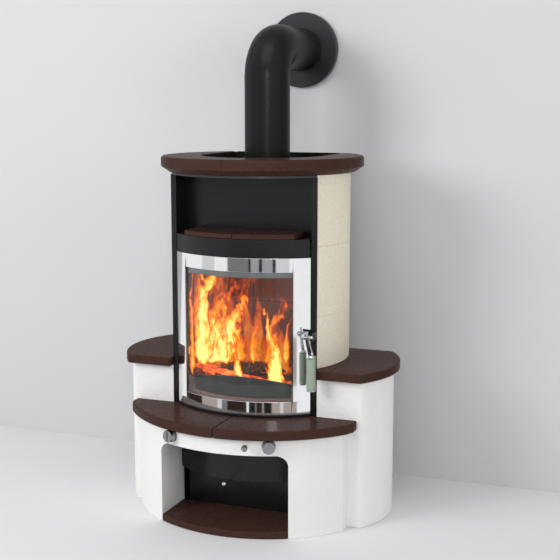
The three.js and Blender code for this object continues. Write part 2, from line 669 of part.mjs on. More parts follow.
function rearShield() {
  const frontY = CASING_BACK_Y + SEAT;
  const backY = SHIELD_Y + SHIELD_SHEET;
  const inner = SHIELD_HALF_WIDTH - SHIELD_SHEET;
  const tray = cut(
    box(-SHIELD_HALF_WIDTH, SHIELD_HALF_WIDTH, frontY, backY, SHIELD_BOTTOM, STONE_TOP),
    box(-inner, inner, frontY - CLEAR, SHIELD_Y, SHIELD_BOTTOM + SHIELD_SHEET, STONE_TOP - SHIELD_SHEET),
  );
  const lip = box(-SHIELD_HALF_WIDTH, SHIELD_HALF_WIDTH, SHIELD_Y, backY, SHIELD_BOTTOM, RING_TOP);
  return join(tray, lip);
}

// A cradle welded on the right post. The ball end of the handle's pin rests in it, open to the front.
function latchKeeper() {
  const clearance = 0.5;
  const slot = HANDLE_BALL_RADIUS + clearance;
  const bottomOfSlotY = HANDLE_PIVOT_Y + slot;
  const low = HANDLE_PIVOT_Z - KEEPER_HALF_HEIGHT;
  const high = HANDLE_PIVOT_Z + KEEPER_HALF_HEIGHT;
  const slotLow = HANDLE_PIVOT_Z - slot;
  const slotHigh = HANDLE_PIVOT_Z + slot;
  const block = box(STRAP_RIGHT_X + clearance, POST_OUTER_X, HANDLE_PIVOT_Y + 2, POST_BACK_Y, low, high);
  const opening = box(0, 2 * HANDLE_X, 2 * HANDLE_PIVOT_Y, bottomOfSlotY, slotLow, slotHigh);
  return cut(block, opening);
}

// ---------------------------------------------------------------- firebox

// A welded box, open in front. The flue spigot stands on its roof and ends inside the pipe.
function fireboxShell() {
  const shell = cut(
    prism(fireboxPlan(0), BODY_BOTTOM, FIREBOX_TOP, 10),
    prism(fireboxPlan(SHEET, FIREBOX_RADIUS + CLEAR), FIREBOX_FLOOR, FIREBOX_TOP - SHEET, 10),
    cylinder(SPIGOT_RADIUS - SHEET, FIREBOX_TOP - CLEAR, FIREBOX_TOP + CLEAR, 32),
    box(-INLET_HALF_WIDTH, INLET_HALF_WIDTH, 0, INLET_BACK_Y, BODY_BOTTOM - CLEAR, FIREBOX_FLOOR + CLEAR),
  );
  return join(shell, tube(SPIGOT_RADIUS, SPIGOT_RADIUS - SHEET, FIREBOX_TOP - SHEET, SPIGOT_TOP));
}

// The bowed face frame stands in the mouth of the box. The door closes on it.
function fireboxFace() {
  const half = FACE_OPENING_HALF_WIDTH;
  const faceHalf = FIREBOX_HALF_WIDTH - SHEET - SEAT;
  const band = bandPlan(FRONT_CENTER_Y, FIREBOX_RADIUS, FIREBOX_RADIUS - SHEET, faceHalf);
  return cut(
    prism(band, FIREBOX_FLOOR + SEAT, FIREBOX_TOP - SHEET - SEAT, 10),
    box(-half, half, -2 * FIREBOX_RADIUS, LINING_FRONT_Y, FACE_OPENING_BOTTOM, FACE_OPENING_TOP),
  );
}

// The floor of the fire: a fireproof slab with the well of the ash pan and the seat of the grate.
function hearthSlab() {
  const ledge = 6;
  const channelHalf = GRATE_HALF_WIDTH - ledge;
  const channelBackY = GRATE_BACK_Y - ledge;
  const bottom = FIREBOX_FLOOR + SEAT;
  const grateSeat = HEARTH_TOP - GRATE_THICKNESS - SEAT;
  return cut(
    prism(fireboxPlan(SHEET + SEAT), bottom, HEARTH_TOP, 10),
    box(-channelHalf, channelHalf, GRATE_FRONT_Y + ledge, channelBackY, 0, HEARTH_TOP + CLEAR),
    box(-INLET_HALF_WIDTH, INLET_HALF_WIDTH, GRATE_BACK_Y, INLET_BACK_Y, 0, grateSeat - INLET_COVER),
    box(
      -GRATE_HALF_WIDTH - SEAT, GRATE_HALF_WIDTH + SEAT,
      GRATE_FRONT_Y - SEAT, GRATE_BACK_Y + SEAT,
      grateSeat, HEARTH_TOP + CLEAR,
    ),
  );
}

function grate() {
  const half = GRATE_HALF_WIDTH;
  const bottom = HEARTH_TOP - GRATE_THICKNESS;
  const plate = box(-half, half, GRATE_FRONT_Y, GRATE_BACK_Y, bottom, HEARTH_TOP);
  const rim = 14;
  const pitch = 2 * (half - rim) / GRATE_SLOTS;
  const slots = [];
  for (let i = 0; i < GRATE_SLOTS; i++) {
    const x = (i - (GRATE_SLOTS - 1) / 2) * pitch;
    const slotHalf = pitch / 4;
    slots.push(box(x - slotHalf, x + slotHalf, GRATE_FRONT_Y + rim, GRATE_BACK_Y - rim, 0, 2 * HEARTH_TOP));
  }
  return cut(plate, ...slots);
}

function ashPan() {
  const half = GRATE_HALF_WIDTH - ASH_PAN_INSET;
  const frontY = GRATE_FRONT_Y + ASH_PAN_INSET;
  const backY = GRATE_BACK_Y - ASH_PAN_INSET;
  const bottom = FIREBOX_FLOOR + SEAT;
  const wall = ASH_PAN_WALL;
  return cut(
    box(-half, half, frontY, backY, bottom, bottom + ASH_PAN_HEIGHT),
    box(wall - half, half - wall, frontY + wall, backY - wall, bottom + wall, bottom + 2 * ASH_PAN_HEIGHT),
  );
}

// The walls of the fire: boards that follow the shell, parted beside the middle of the back.
function liningWall() {
  const outer = prism(fireboxPlan(SHEET + SEAT), HEARTH_TOP + SEAT, LINING_TOP, 4);
  return cut(outer, prism(fireboxPlan(SHEET + SEAT + LINING_THICKNESS), 0, 2 * LINING_TOP, 4));
}

function sideLining() {
  const innerX = BACK_LINING_HALF_WIDTH + SEAT;
  const side = box(innerX, 2 * FIREBOX_RADIUS, LINING_FRONT_Y, FIREBOX_BACK_Y, 0, LINING_TOP);
  return common(liningWall(), side);
}

function backLining() {
  const half = BACK_LINING_HALF_WIDTH;
  return common(liningWall(), box(-half, half, LINING_FRONT_Y, FIREBOX_BACK_Y, 0, LINING_TOP));
}

function baffle() {
  const bottom = LINING_TOP + SEAT;
  const plate = prism(fireboxPlan(SHEET + SEAT), bottom, bottom + BAFFLE_THICKNESS, 4);
  const reach = 2 * FIREBOX_RADIUS;
  return common(plate, box(-reach, reach, BAFFLE_FRONT_Y, FIREBOX_BACK_Y, 0, FIREBOX_TOP));
}

// A bowed plate that keeps the logs off the glass. Its top is a shallow arch.
function logGuard() {
  const band = bandPlan(FRONT_CENTER_Y, GUARD_RADIUS, GUARD_RADIUS - GUARD_THICKNESS, GUARD_HALF_WIDTH);
  const bottom = HEARTH_TOP + SEAT;
  const arch = new THREE.Shape();
  arch.moveTo(-GUARD_HALF_WIDTH - 1, bottom);
  arch.lineTo(GUARD_HALF_WIDTH + 1, bottom);
  arch.lineTo(GUARD_HALF_WIDTH + 1, GUARD_END_Z);
  arch.quadraticCurveTo(0, 2 * GUARD_CROWN_Z - GUARD_END_Z, -GUARD_HALF_WIDTH - 1, GUARD_END_Z);
  return common(prism(band, bottom, GUARD_CROWN_Z + 1, 8), frontPrism(arch, -2 * GUARD_RADIUS, 0, 8));
}

// A half-round split log, flat side down, lying along X.
function splitLog(length) {
  const section = new THREE.Shape();
  section.absarc(0, 0, LOG_RADIUS, 0, Math.PI, false);
  const log = new THREE.ExtrudeGeometry(section, { depth: length, bevelEnabled: false, curveSegments: 5 });
  return log.translate(0, 0, -length / 2).rotateX(Math.PI / 2).rotateZ(Math.PI / 2);
}

// ---------------------------------------------------------------- door

function hingeHole(bottom, top) {
  return cylinder(HINGE_PIN_RADIUS + SEAT, bottom, top, 16).translate(HINGE_X, HINGE_Y, 0);
}

function hingePin(bottom, top) {
  return cylinder(HINGE_PIN_RADIUS, bottom, top, 16).translate(HINGE_X, HINGE_Y, 0);
}

// A shallow bowed tray of polished sheet with the window cut through it.
function doorFrame() {
  const tray = bandPlan(FRONT_CENTER_Y, FRONT_RADIUS, FRONT_RADIUS - DOOR_DEPTH, DOOR_HALF_WIDTH);
  const inside = bandPlan(FRONT_CENTER_Y, SKIN_INNER_RADIUS, FIREBOX_RADIUS - 20, DOOR_HALF_WIDTH - SHEET);
  const half = WINDOW_HALF_WIDTH;
  return cut(
    prism(tray, DOOR_BOTTOM, DOOR_TOP, 10),
    prism(inside, DOOR_BOTTOM + SHEET, DOOR_TOP - SHEET, 10),
    box(-half, half, -2 * FRONT_RADIUS, 0, WINDOW_BOTTOM, WINDOW_TOP),
    hingeHole(0, 2 * DOOR_TOP),
  );
}

function doorGlass() {
  const half = WINDOW_HALF_WIDTH + GLASS_OVERLAP;
  const band = bandPlan(FRONT_CENTER_Y, GLASS_OUTER_RADIUS, GLASS_INNER_RADIUS, half);
  return prism(band, WINDOW_BOTTOM - GLASS_OVERLAP, WINDOW_TOP + GLASS_OVERLAP, 10);
}

// Clamps the glass against the door frame. Its broad top bar turns the air down over the glass.
function glassRetainer() {
  const half = WINDOW_HALF_WIDTH + GLASS_OVERLAP;
  const outer = RETAINER_OUTER_RADIUS;
  const band = bandPlan(FRONT_CENTER_Y, outer, outer - RETAINER_DEPTH, half);
  const innerHalf = WINDOW_HALF_WIDTH + 1;
  return cut(
    prism(band, WINDOW_BOTTOM - GLASS_OVERLAP, WINDOW_TOP + GLASS_OVERLAP, 10),
    box(-innerHalf, innerHalf, -2 * FRONT_RADIUS, 0, WINDOW_BOTTOM - 1, AIR_WASH_BOTTOM),
  );
}

// The rope gasket lies in the door and closes on the face of the firebox.
function doorGasket() {
  const innerHalf = WINDOW_HALF_WIDTH + GLASS_OVERLAP + GASKET_MARGIN;
  const outerHalf = innerHalf + GASKET_WIDTH;
  const bottom = DOOR_BOTTOM + SHEET + GASKET_MARGIN;
  const top = WINDOW_TOP + GLASS_OVERLAP + GASKET_MARGIN + GASKET_WIDTH;
  const band = bandPlan(FRONT_CENTER_Y, SKIN_INNER_RADIUS - SEAT, FIREBOX_RADIUS + SEAT, outerHalf);
  return cut(
    prism(band, bottom, top, 10),
    box(-innerHalf, innerHalf, -2 * FRONT_RADIUS, 0, bottom + GASKET_WIDTH, top - GASKET_WIDTH),
  );
}

// An outline drawn in side view, (y, z), carried along X.
function sidePrism(outline, leftX, rightX, curveSegments = 8) {
  const depth = rightX - leftX;
  const geometry = new THREE.ExtrudeGeometry(outline, { depth, bevelEnabled: false, curveSegments });
  return geometry.rotateX(Math.PI / 2).rotateZ(Math.PI / 2).translate(leftX, 0, 0);
}

function alongX(radius, leftX, rightX, sides = 16) {
  const bar = cylinder(radius, 0, rightX - leftX, sides);
  return aim(bar, new THREE.Vector3(leftX, HANDLE_PIVOT_Y, HANDLE_PIVOT_Z), new THREE.Vector3(1, 0, 0));
}

function handleBoss() {
  const outline = new THREE.Shape();
  outline.absarc(HANDLE_PIVOT_Y, HANDLE_PIVOT_Z, BOSS_RADIUS, Math.PI / 2, 1.5 * Math.PI, false);
  outline.lineTo(POST_Y, HANDLE_PIVOT_Z - BOSS_RADIUS - 4);
  outline.lineTo(POST_Y, HANDLE_PIVOT_Z + BOSS_RADIUS + 4);
  const ear = sidePrism(outline, BOSS_LEFT_X, BOSS_LEFT_X + BOSS_WIDTH);
  const doorBody = bowPlan(FRONT_CENTER_Y, FRONT_RADIUS + SEAT, 2 * BOSS_WIDTH + BOSS_LEFT_X, 0);
  const pinHole = alongX(HANDLE_PIN_RADIUS + SEAT, BOSS_LEFT_X - 10, BOSS_LEFT_X + BOSS_WIDTH + 10);
  return cut(ear, prism(doorBody, 0, DOOR_TOP, 10), pinHole);
}

// Cross pin, strap and core of the handle: one forging that turns in the boss.
function handleLever() {
  const strapLeft = BOSS_LEFT_X + BOSS_WIDTH + 1.5;
  const strapHalf = STRAP_THICKNESS / 2;
  const collarZ = GRIP_TOP + SEAT;
  const strap = new THREE.Shape();
  strap.moveTo(strapLeft, HANDLE_PIVOT_Z + 6);
  strap.lineTo(strapLeft, HANDLE_PIVOT_Z - 10);
  strap.lineTo(HANDLE_X - 8, collarZ + 4);
  strap.lineTo(HANDLE_X + 9, collarZ + 4);
  strap.lineTo(STRAP_RIGHT_X, HANDLE_PIVOT_Z - KEEPER_HALF_HEIGHT - 2);
  strap.lineTo(STRAP_RIGHT_X, HANDLE_PIVOT_Z + 6);
  const plate = frontPrism(strap, HANDLE_PIVOT_Y - strapHalf, HANDLE_PIVOT_Y + strapHalf);
  const pin = alongX(HANDLE_PIN_RADIUS, BOSS_LEFT_X - 5, HANDLE_X + 1);
  const collarTop = collarZ + 9;
  const collar = turned([
    [0, collarZ], [12, collarZ], [GRIP_RADIUS, collarZ + 3], [10, collarTop], [0, collarTop],
  ], 20);
  const footTop = GRIP_TOP - GRIP_LENGTH - SEAT;
  const core = cylinder(GRIP_CORE_RADIUS, footTop - 1, collarZ + 2, 12);
  const foot = cylinder(GRIP_RADIUS - 0.5, footTop - GRIP_CAP, footTop, 20);
  const spur = cylinder(3, HANDLE_PIVOT_Z, HANDLE_PIVOT_Z + 19, 8);
  return join(
    plate,
    pin,
    ball(HANDLE_BALL_RADIUS, HANDLE_X + 1, HANDLE_PIVOT_Y, HANDLE_PIVOT_Z),
    ball(4.5, HANDLE_X + 4, HANDLE_PIVOT_Y - strapHalf, collarZ + 16),
    spur.translate(strapLeft + 5, HANDLE_PIVOT_Y, 0),
    collar.translate(HANDLE_X, HANDLE_PIVOT_Y, 0),
    core.translate(HANDLE_X, HANDLE_PIVOT_Y, 0),
    foot.translate(HANDLE_X, HANDLE_PIVOT_Y, 0),
  );
}

function handleGrip() {
  const bottom = GRIP_TOP - GRIP_LENGTH;
  const inner = GRIP_CORE_RADIUS + SEAT;
  const grip = turned([
    [inner, bottom], [GRIP_RADIUS - 1, bottom], [GRIP_RADIUS, bottom + 1],
    [GRIP_RADIUS, GRIP_TOP - 1], [GRIP_RADIUS - 1, GRIP_TOP], [inner, GRIP_TOP], [inner, bottom],
  ], 20);
  return grip.translate(HANDLE_X, HANDLE_PIVOT_Y, 0);
}

// ---------------------------------------------------------------- flue

function fluePipe() {
  return tube(FLUE_RADIUS, FLUE_INNER, TOP_PLATE_TOP + SEAT, BEND_Z - SEAT);
}

// The axis of the bend: a quarter circle over to the wall.
class QuarterBend extends THREE.Curve {
  getPointAt(u, target = new THREE.Vector3()) {
    const angle = u * Math.PI / 2;
    return target.set(0, FLUE_BEND * (1 - Math.cos(angle)), BEND_Z + FLUE_BEND * Math.sin(angle));
  }

  getTangentAt(u, target = new THREE.Vector3()) {
    const angle = u * Math.PI / 2;
    return target.set(0, Math.sin(angle), Math.cos(angle));
  }
}

function flueBend() {
  const section = new THREE.Shape();
  section.absarc(0, 0, FLUE_RADIUS, 0, 2 * Math.PI, false);
  const bore = new THREE.Path();
  bore.absarc(0, 0, FLUE_INNER, 0, 2 * Math.PI, true);
  section.holes.push(bore);
  return new THREE.ExtrudeGeometry(section, {
    steps: BEND_STEPS, curveSegments: 15, extrudePath: new QuarterBend(),
  });
}

// The straight pipe from the bend to the wall.
function flueTail() {
  const frontY = FLUE_BEND + SEAT;
  const tail = tube(FLUE_RADIUS, FLUE_INNER, 0, WALL_Y - SEAT - frontY);
  return aim(tail, new THREE.Vector3(0, frontY, FLUE_HEIGHT), new THREE.Vector3(0, 1, 0));
}

function wallRosette() {
  const inner = FLUE_RADIUS + SEAT;
  const face = ROSETTE_DEPTH;
  const rosette = turned([
    [ROSETTE_RADIUS - ROSETTE_RIM, 0],
    [ROSETTE_RADIUS, 0],
    [ROSETTE_RADIUS, face - 3],
    [ROSETTE_RADIUS - 3, face],
    [inner, face],
    [inner, face - ROSETTE_SHEET],
    [ROSETTE_RADIUS - ROSETTE_RIM, face - ROSETTE_SHEET],
    [ROSETTE_RADIUS - ROSETTE_RIM, 0],
  ], 40);
  return aim(rosette, new THREE.Vector3(0, WALL_Y, FLUE_HEIGHT), new THREE.Vector3(0, -1, 0));
}

// ---------------------------------------------------------------- controls

// A place on the face of the front wall, with the direction that stands square off it.
function wallPlace(x, z) {
  const angle = Math.asin(x / WALL_RADIUS);
  return {
    point: new THREE.Vector3(x, WALL_CENTER_Y - WALL_RADIUS * Math.cos(angle), z),
    direction: new THREE.Vector3(Math.sin(angle), -Math.cos(angle), 0),
  };
}

function onWall(geometry, x) {
  const { point, direction } = wallPlace(x, CONTROL_Z);
  return aim(geometry, point, direction);
}

function shaftHoles() {
  const depth = 2 * VALVE_DEPTH;
  const hole = (radius, x) => onWall(cylinder(radius + SEAT, -depth, 10, 16), x);
  const pull = aim(
    cylinder(SHAFT_RADIUS + SEAT, 0, PULL_BORE_BACK_Y - PULL_BALL_Y, 16),
    new THREE.Vector3(0, PULL_BALL_Y, PULL_Z),
    new THREE.Vector3(0, 1, 0),
  );
  return [hole(SHAFT_RADIUS, AIR_KNOB_X), hole(SHAFT_RADIUS, -AIR_KNOB_X), hole(ROD_RADIUS, DAMPER_X), pull];
}

function escutcheon(x) {
  return onWall(tube(ESCUTCHEON_RADIUS, SHAFT_RADIUS + SEAT, SEAT, SEAT + ESCUTCHEON_THICKNESS, 24), x);
}

// Knob, shaft and valve disc turn as one. A ridge on the face shows the setting.
function airKnob(x) {
  const foot = 2 * SEAT + ESCUTCHEON_THICKNESS;
  const face = foot + AIR_KNOB_DEPTH;
  const body = turned([
    [0, -VALVE_DEPTH],
    [VALVE_RADIUS, -VALVE_DEPTH],
    [VALVE_RADIUS, VALVE_THICKNESS - VALVE_DEPTH],
    [SHAFT_RADIUS, VALVE_THICKNESS - VALVE_DEPTH],
    [SHAFT_RADIUS, foot],
    [AIR_KNOB_RADIUS - 2, foot],
    [AIR_KNOB_RADIUS, foot + 2],
    [AIR_KNOB_RADIUS - 1, face - 2],
    [AIR_KNOB_RADIUS - 3, face],
    [0, face],
  ], 24);
  const ridge = box(-2.5, 2.5, -AIR_KNOB_RADIUS + 5, AIR_KNOB_RADIUS - 5, face - 2, face + 3);
  return onWall(join(body, ridge), x);
}

// The small pull: a knob on a rod that runs back into the air box.
function damperPull() {
  const knobFoot = DAMPER_STANDOFF;
  const knobEnd = knobFoot + DAMPER_KNOB_DEPTH;
  const body = turned([
    [0, knobFoot - DAMPER_REACH],
    [ROD_RADIUS, knobFoot - DAMPER_REACH],
    [ROD_RADIUS, knobFoot],
    [DAMPER_KNOB_RADIUS - 3, knobFoot],
    [DAMPER_KNOB_RADIUS, knobFoot + 4],
    [DAMPER_KNOB_RADIUS - 1, knobEnd - 2],
    [DAMPER_KNOB_RADIUS - 4, knobEnd],
    [0, knobEnd],
  ], 16);
  return onWall(body, DAMPER_X);
}

// The shutter of the air box with its rod and ball, drawn forwards to open.
function intakeShutter() {
  const rodLength = SHUTTER_FRONT_Y - PULL_BALL_Y + 10;
  const rod = aim(
    cylinder(SHAFT_RADIUS, 0, rodLength, 16),
    new THREE.Vector3(0, PULL_BALL_Y, PULL_Z),
    new THREE.Vector3(0, 1, 0),
  );
  const half = SHUTTER_HALF_WIDTH;
  const plateBottom = PULL_Z - SHUTTER_THICKNESS / 2;
  const plateBackY = SHUTTER_FRONT_Y + SHUTTER_LENGTH;
  const plateTop = plateBottom + SHUTTER_THICKNESS;
  const plate = box(-half, half, SHUTTER_FRONT_Y, plateBackY, plateBottom, plateTop);
  return join(ball(PULL_BALL_RADIUS, 0, PULL_BALL_Y, PULL_Z), rod, plate);
}

// The air box stands on the floor of the lower front. Two runners leave the shutter its way.
function airBox() {
  const half = AIR_BOX_HALF_WIDTH;
  const bottom = LOWER_FRONT_BOTTOM + SHEET + SEAT;
  const top = LEDGE_TOP - SHEET - SEAT;
  const floor = PULL_Z + SHUTTER_THICKNESS / 2 + SEAT;
  const wall = AIR_BOX_WALL;
  const mouthFrontY = SHUTTER_FRONT_Y + SHUTTER_OVERLAP;
  const mouthBackY = SHUTTER_FRONT_Y + SHUTTER_LENGTH - SHUTTER_OVERLAP;
  const slot = onWall(cylinder(ROD_RADIUS + SEAT, -2 * DAMPER_REACH, 0, 16), DAMPER_X);
  return cut(
    box(-half, half, AIR_BOX_FRONT_Y, AIR_BOX_BACK_Y, bottom, top),
    box(wall - half, half - wall, AIR_BOX_FRONT_Y + wall, AIR_BOX_BACK_Y - wall, floor + wall, top - wall),
    box(-RUNNER_HALF_GAP, RUNNER_HALF_GAP, 2 * AIR_BOX_FRONT_Y, 2 * AIR_BOX_BACK_Y, 0, floor),
    box(-RUNNER_HALF_GAP / 2, RUNNER_HALF_GAP / 2, mouthFrontY, mouthBackY, 0, floor + 2 * wall),
    box(
      wall - INLET_HALF_WIDTH, INLET_HALF_WIDTH - wall,
      wall, INLET_BACK_Y - wall,
      top - 2 * wall, top + CLEAR,
    ),
    slot,
  );
}

// ---------------------------------------------------------------- materials

function finish(color, roughness, metalness) {
  return () => new THREE.MeshStandardMaterial({ color, roughness, metalness });
}

const glazedTile = finish(0x3b211b, 0.28, 0);
const paleStone = finish(0xd9d0b4, 0.85, 0);
const plaster = finish(0xeeecea, 0.9, 0);
const blackSteel = finish(0x18181a, 0.5, 0.4);
const polishedSteel = finish(0xc9cbcd, 0.16, 1);
const chrome = finish(0xc4c6c8, 0.1, 1);
const greySteel = finish(0x6e6f70, 0.45, 0.8);
const fluePaint = finish(0x1d1e20, 0.55, 0.3);
const castIron = finish(0x2b2b2c, 0.7, 0.6);
const fireBrick = finish(0xa2765a, 0.9, 0);
const ropeSeal = finish(0x8d8c88, 0.95, 0);
const gripCoat = finish(0x9dab98, 0.4, 0.2);
const firewood = finish(0x3a2a20, 0.95, 0);

function clearGlass() {
  return new THREE.MeshStandardMaterial({
    color: 0xdfe6e6, roughness: 0.05, metalness: 0, transparent: true, opacity: 0.25,
  });
}

// ---------------------------------------------------------------- assembly

const group = new THREE.Group();

function place(parent, name, geometry, material) {
  const mesh = new THREE.Mesh(geometry, material());
  mesh.name = name;
  parent.add(mesh);
  return mesh;
}

// A piece that has a mirror image of itself on the other side of the stove.
function placePair(parent, name, geometry, material) {
  place(parent, `${name}_right`, geometry, material);
  place(parent, `${name}_left`, mirrored(geometry), material);
}

function buildMasonry() {
  const masonry = new THREE.Group();
  place(masonry, "front_base_wall", frontBaseWall(), plaster);
  placePair(masonry, "plinth", plinth(), plaster);
  placePair(masonry, "bench_tile", benchTile(), glazedTile);
  placePair(masonry, "ledge_tile", ledgeTile(), glazedTile);
  place(masonry, "niche_floor_tile", nicheFloorTile(), glazedTile);
  placePair(masonry, "warming_tile", warmingTile(), glazedTile);
  placePair(masonry, "top_ring", topRingHalf(), glazedTile);
  const upperJoint = STONE_TOP - STONE_COURSE;
  const lowerJoint = upperJoint - STONE_COURSE;
  placePair(masonry, "stone_1", stoneCourse(BENCH_TOP + SEAT, lowerJoint - STONE_JOINT), paleStone);
  placePair(masonry, "stone_2", stoneCourse(lowerJoint, upperJoint - STONE_JOINT), paleStone);
  placePair(masonry, "stone_3", stoneCourse(upperJoint, STONE_TOP), paleStone);
  return masonry;
}

function buildBody() {
  const body = new THREE.Group();
  place(body, "pedestal", pedestal(), blackSteel);
  place(body, "casing", casing(), blackSteel);
  place(body, "lower_front", lowerFront(), blackSteel);
  place(body, "side_frame_right", join(sideFrame(), latchKeeper()), blackSteel);
  place(body, "side_frame_left", mirrored(sideFrame()), blackSteel);
  place(body, "sill", sill(), blackSteel);
  place(body, "fascia", fascia(), blackSteel);
  place(body, "compartment_liner", compartmentLiner(), blackSteel);
  place(body, "top_trim", topTrim(), polishedSteel);
  place(body, "top_plate", topPlate(), blackSteel);
  place(body, "rear_shield", rearShield(), blackSteel);
  place(body, "air_box", airBox(), greySteel);
  return body;
}

function buildFirebox() {
  const firebox = new THREE.Group();
  place(firebox, "firebox_shell", fireboxShell(), greySteel);
  place(firebox, "firebox_face", fireboxFace(), greySteel);
  place(firebox, "hearth_slab", hearthSlab(), fireBrick);
  place(firebox, "grate", grate(), castIron);
  place(firebox, "ash_pan", ashPan(), greySteel);
  placePair(firebox, "side_lining", sideLining(), fireBrick);
  place(firebox, "back_lining", backLining(), fireBrick);
  place(firebox, "baffle", baffle(), fireBrick);
  place(firebox, "log_guard", logGuard(), castIron);
  const lowerLogZ = HEARTH_TOP + SEAT;
  place(firebox, "log_front", splitLog(LOG_LENGTH), firewood).position.set(-8, FRONT_LOG_Y, lowerLogZ);
  place(firebox, "log_rear", splitLog(LOG_LENGTH), firewood).position.set(12, REAR_LOG_Y, lowerLogZ);
  const topLog = place(firebox, "log_top", splitLog(LOG_LENGTH), firewood);
  topLog.position.set(0, (FRONT_LOG_Y + REAR_LOG_Y) / 2, lowerLogZ + LOG_RADIUS + SEAT);
  topLog.rotation.z = TOP_LOG_TURN;
  return firebox;
}

function buildDoor() {
  const door = new THREE.Group();
  place(door, "door_frame", doorFrame(), polishedSteel);
  place(door, "door_glass", doorGlass(), clearGlass);
  place(door, "glass_retainer", glassRetainer(), greySteel);
  place(door, "door_gasket", doorGasket(), ropeSeal);
  place(door, "handle_boss", handleBoss(), chrome);
  place(door, "handle_lever", handleLever(), chrome);
  place(door, "handle_grip", handleGrip(), gripCoat);
  return door;
}

function buildFlue() {
  const flue = new THREE.Group();
  place(flue, "flue_pipe", fluePipe(), fluePaint);
  place(flue, "flue_bend", flueBend(), fluePaint);
  place(flue, "flue_tail", flueTail(), fluePaint);
  place(flue, "wall_rosette", wallRosette(), fluePaint);
  return flue;
}

function buildControls() {
  const controls = new THREE.Group();
  place(controls, "escutcheon_right", escutcheon(AIR_KNOB_X), chrome);
  place(controls, "escutcheon_left", escutcheon(-AIR_KNOB_X), chrome);
  place(controls, "air_knob_right", airKnob(AIR_KNOB_X), chrome);
  place(controls, "air_knob_left", airKnob(-AIR_KNOB_X), chrome);
  place(controls, "damper_pull", damperPull(), chrome);
  place(controls, "intake_shutter", intakeShutter(), chrome);
  return controls;
}

group.add(buildMasonry(), buildBody(), buildFirebox(), buildDoor(), buildFlue(), buildControls());

export default group;
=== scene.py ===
import math

import bpy
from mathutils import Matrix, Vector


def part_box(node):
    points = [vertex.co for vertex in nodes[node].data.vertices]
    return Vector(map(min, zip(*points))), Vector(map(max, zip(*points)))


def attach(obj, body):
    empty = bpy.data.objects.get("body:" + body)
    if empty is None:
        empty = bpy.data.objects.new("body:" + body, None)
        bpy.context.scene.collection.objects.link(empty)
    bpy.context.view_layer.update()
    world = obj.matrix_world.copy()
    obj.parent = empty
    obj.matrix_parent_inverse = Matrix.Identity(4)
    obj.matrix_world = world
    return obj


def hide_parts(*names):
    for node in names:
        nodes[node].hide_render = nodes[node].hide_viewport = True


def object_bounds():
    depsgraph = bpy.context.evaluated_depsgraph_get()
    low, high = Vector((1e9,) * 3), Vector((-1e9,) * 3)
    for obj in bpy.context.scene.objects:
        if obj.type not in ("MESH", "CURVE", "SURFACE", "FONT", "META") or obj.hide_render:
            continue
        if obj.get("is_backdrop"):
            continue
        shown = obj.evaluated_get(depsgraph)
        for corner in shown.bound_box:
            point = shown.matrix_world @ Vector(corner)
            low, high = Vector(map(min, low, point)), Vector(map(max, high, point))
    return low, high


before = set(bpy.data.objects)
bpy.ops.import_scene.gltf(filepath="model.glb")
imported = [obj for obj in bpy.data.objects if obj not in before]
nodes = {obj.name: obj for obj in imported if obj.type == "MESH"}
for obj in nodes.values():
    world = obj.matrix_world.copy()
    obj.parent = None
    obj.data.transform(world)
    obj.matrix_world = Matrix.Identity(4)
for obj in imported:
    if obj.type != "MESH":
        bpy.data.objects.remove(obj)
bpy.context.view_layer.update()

# ---------------------------------------- camera
# The photograph was taken 3.5 m in front of the stove and 1.4 m to its right, from a little above its
# top ring, with the camera turned down by nine degrees.

camera_data = bpy.data.cameras.new("camera")
camera_data.lens = 72.4
camera = bpy.data.objects.new("camera", camera_data)
camera.location = (1.3873, -3.4815, 1.3372)
camera.rotation_euler = (math.radians(81.0), 0, math.radians(21.09))
bpy.context.scene.collection.objects.link(camera)
bpy.context.scene.camera = camera
bpy.context.scene.view_settings.view_transform = "Standard"

# ---------------------------------------- floor, wall and light
# A pale floor and a pale wall behind the stove, each seen from its front only. The light comes from a
# large soft lamp at the left, weaker ones in front, at the right and above, and an even pale surround.


def set_inputs(node, values):
    """Sets inputs of a shader node by their names."""
    for socket, value in values.items():
        node.inputs[socket].default_value = value
    return node


def added(tree, kind, values=None):
    """A new shader node with some inputs set by their names."""
    return set_inputs(tree.nodes.new("ShaderNode" + kind), values or {})


def new_material(name, values):
    """A material, its nodes and its main shader with some inputs set by their names."""
    material = bpy.data.materials.new(name)
    material.use_nodes = True
    tree = material.node_tree
    return material, tree, set_inputs(tree.nodes["Principled BSDF"], values)


def primitive(name, add, **settings):
    """A plain shape to start from, under a name of its own."""
    bpy.ops.object.select_all(action="DESELECT")
    add(**settings)
    piece = bpy.context.object
    piece.name = piece.data.name = name
    return piece


def mixed(tree, factor, first, second):
    """Two shaders mixed, from all of the first to all of the second."""
    mix = added(tree, "MixShader")
    for source, socket in zip((factor, first, second), mix.inputs):
        tree.links.new(source, socket)
    return mix.outputs["Shader"]


def plain_stage(name, size, place, turn, tone, mirrored_as):
    """A plain plane, unseen from behind. Bright metal mirrors it as evenly lit, at the given level."""
    stage = primitive(name, bpy.ops.mesh.primitive_plane_add, size=size, location=place, rotation=turn)
    values = {"Base Color": tone, "Roughness": 0.9, "Specular IOR Level": 0.1}
    material, tree, shader = new_material(name, values)
    clear = added(tree, "BsdfTransparent").outputs["BSDF"]
    even = added(tree, "Emission", {"Strength": mirrored_as}).outputs["Emission"]
    in_mirrors = added(tree, "LightPath").outputs["Is Glossy Ray"]
    behind = added(tree, "NewGeometry").outputs["Backfacing"]
    front = mixed(tree, in_mirrors, shader.outputs["BSDF"], even)
    whole = mixed(tree, behind, front, clear)
    tree.links.new(whole, tree.nodes["Material Output"].inputs["Surface"])
    stage.data.materials.append(material)
    stage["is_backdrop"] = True


plain_stage("floor", 16, (0, 0, -0.0006), (0, 0, 0), (0.80, 0.80, 0.80, 1), 0.95)
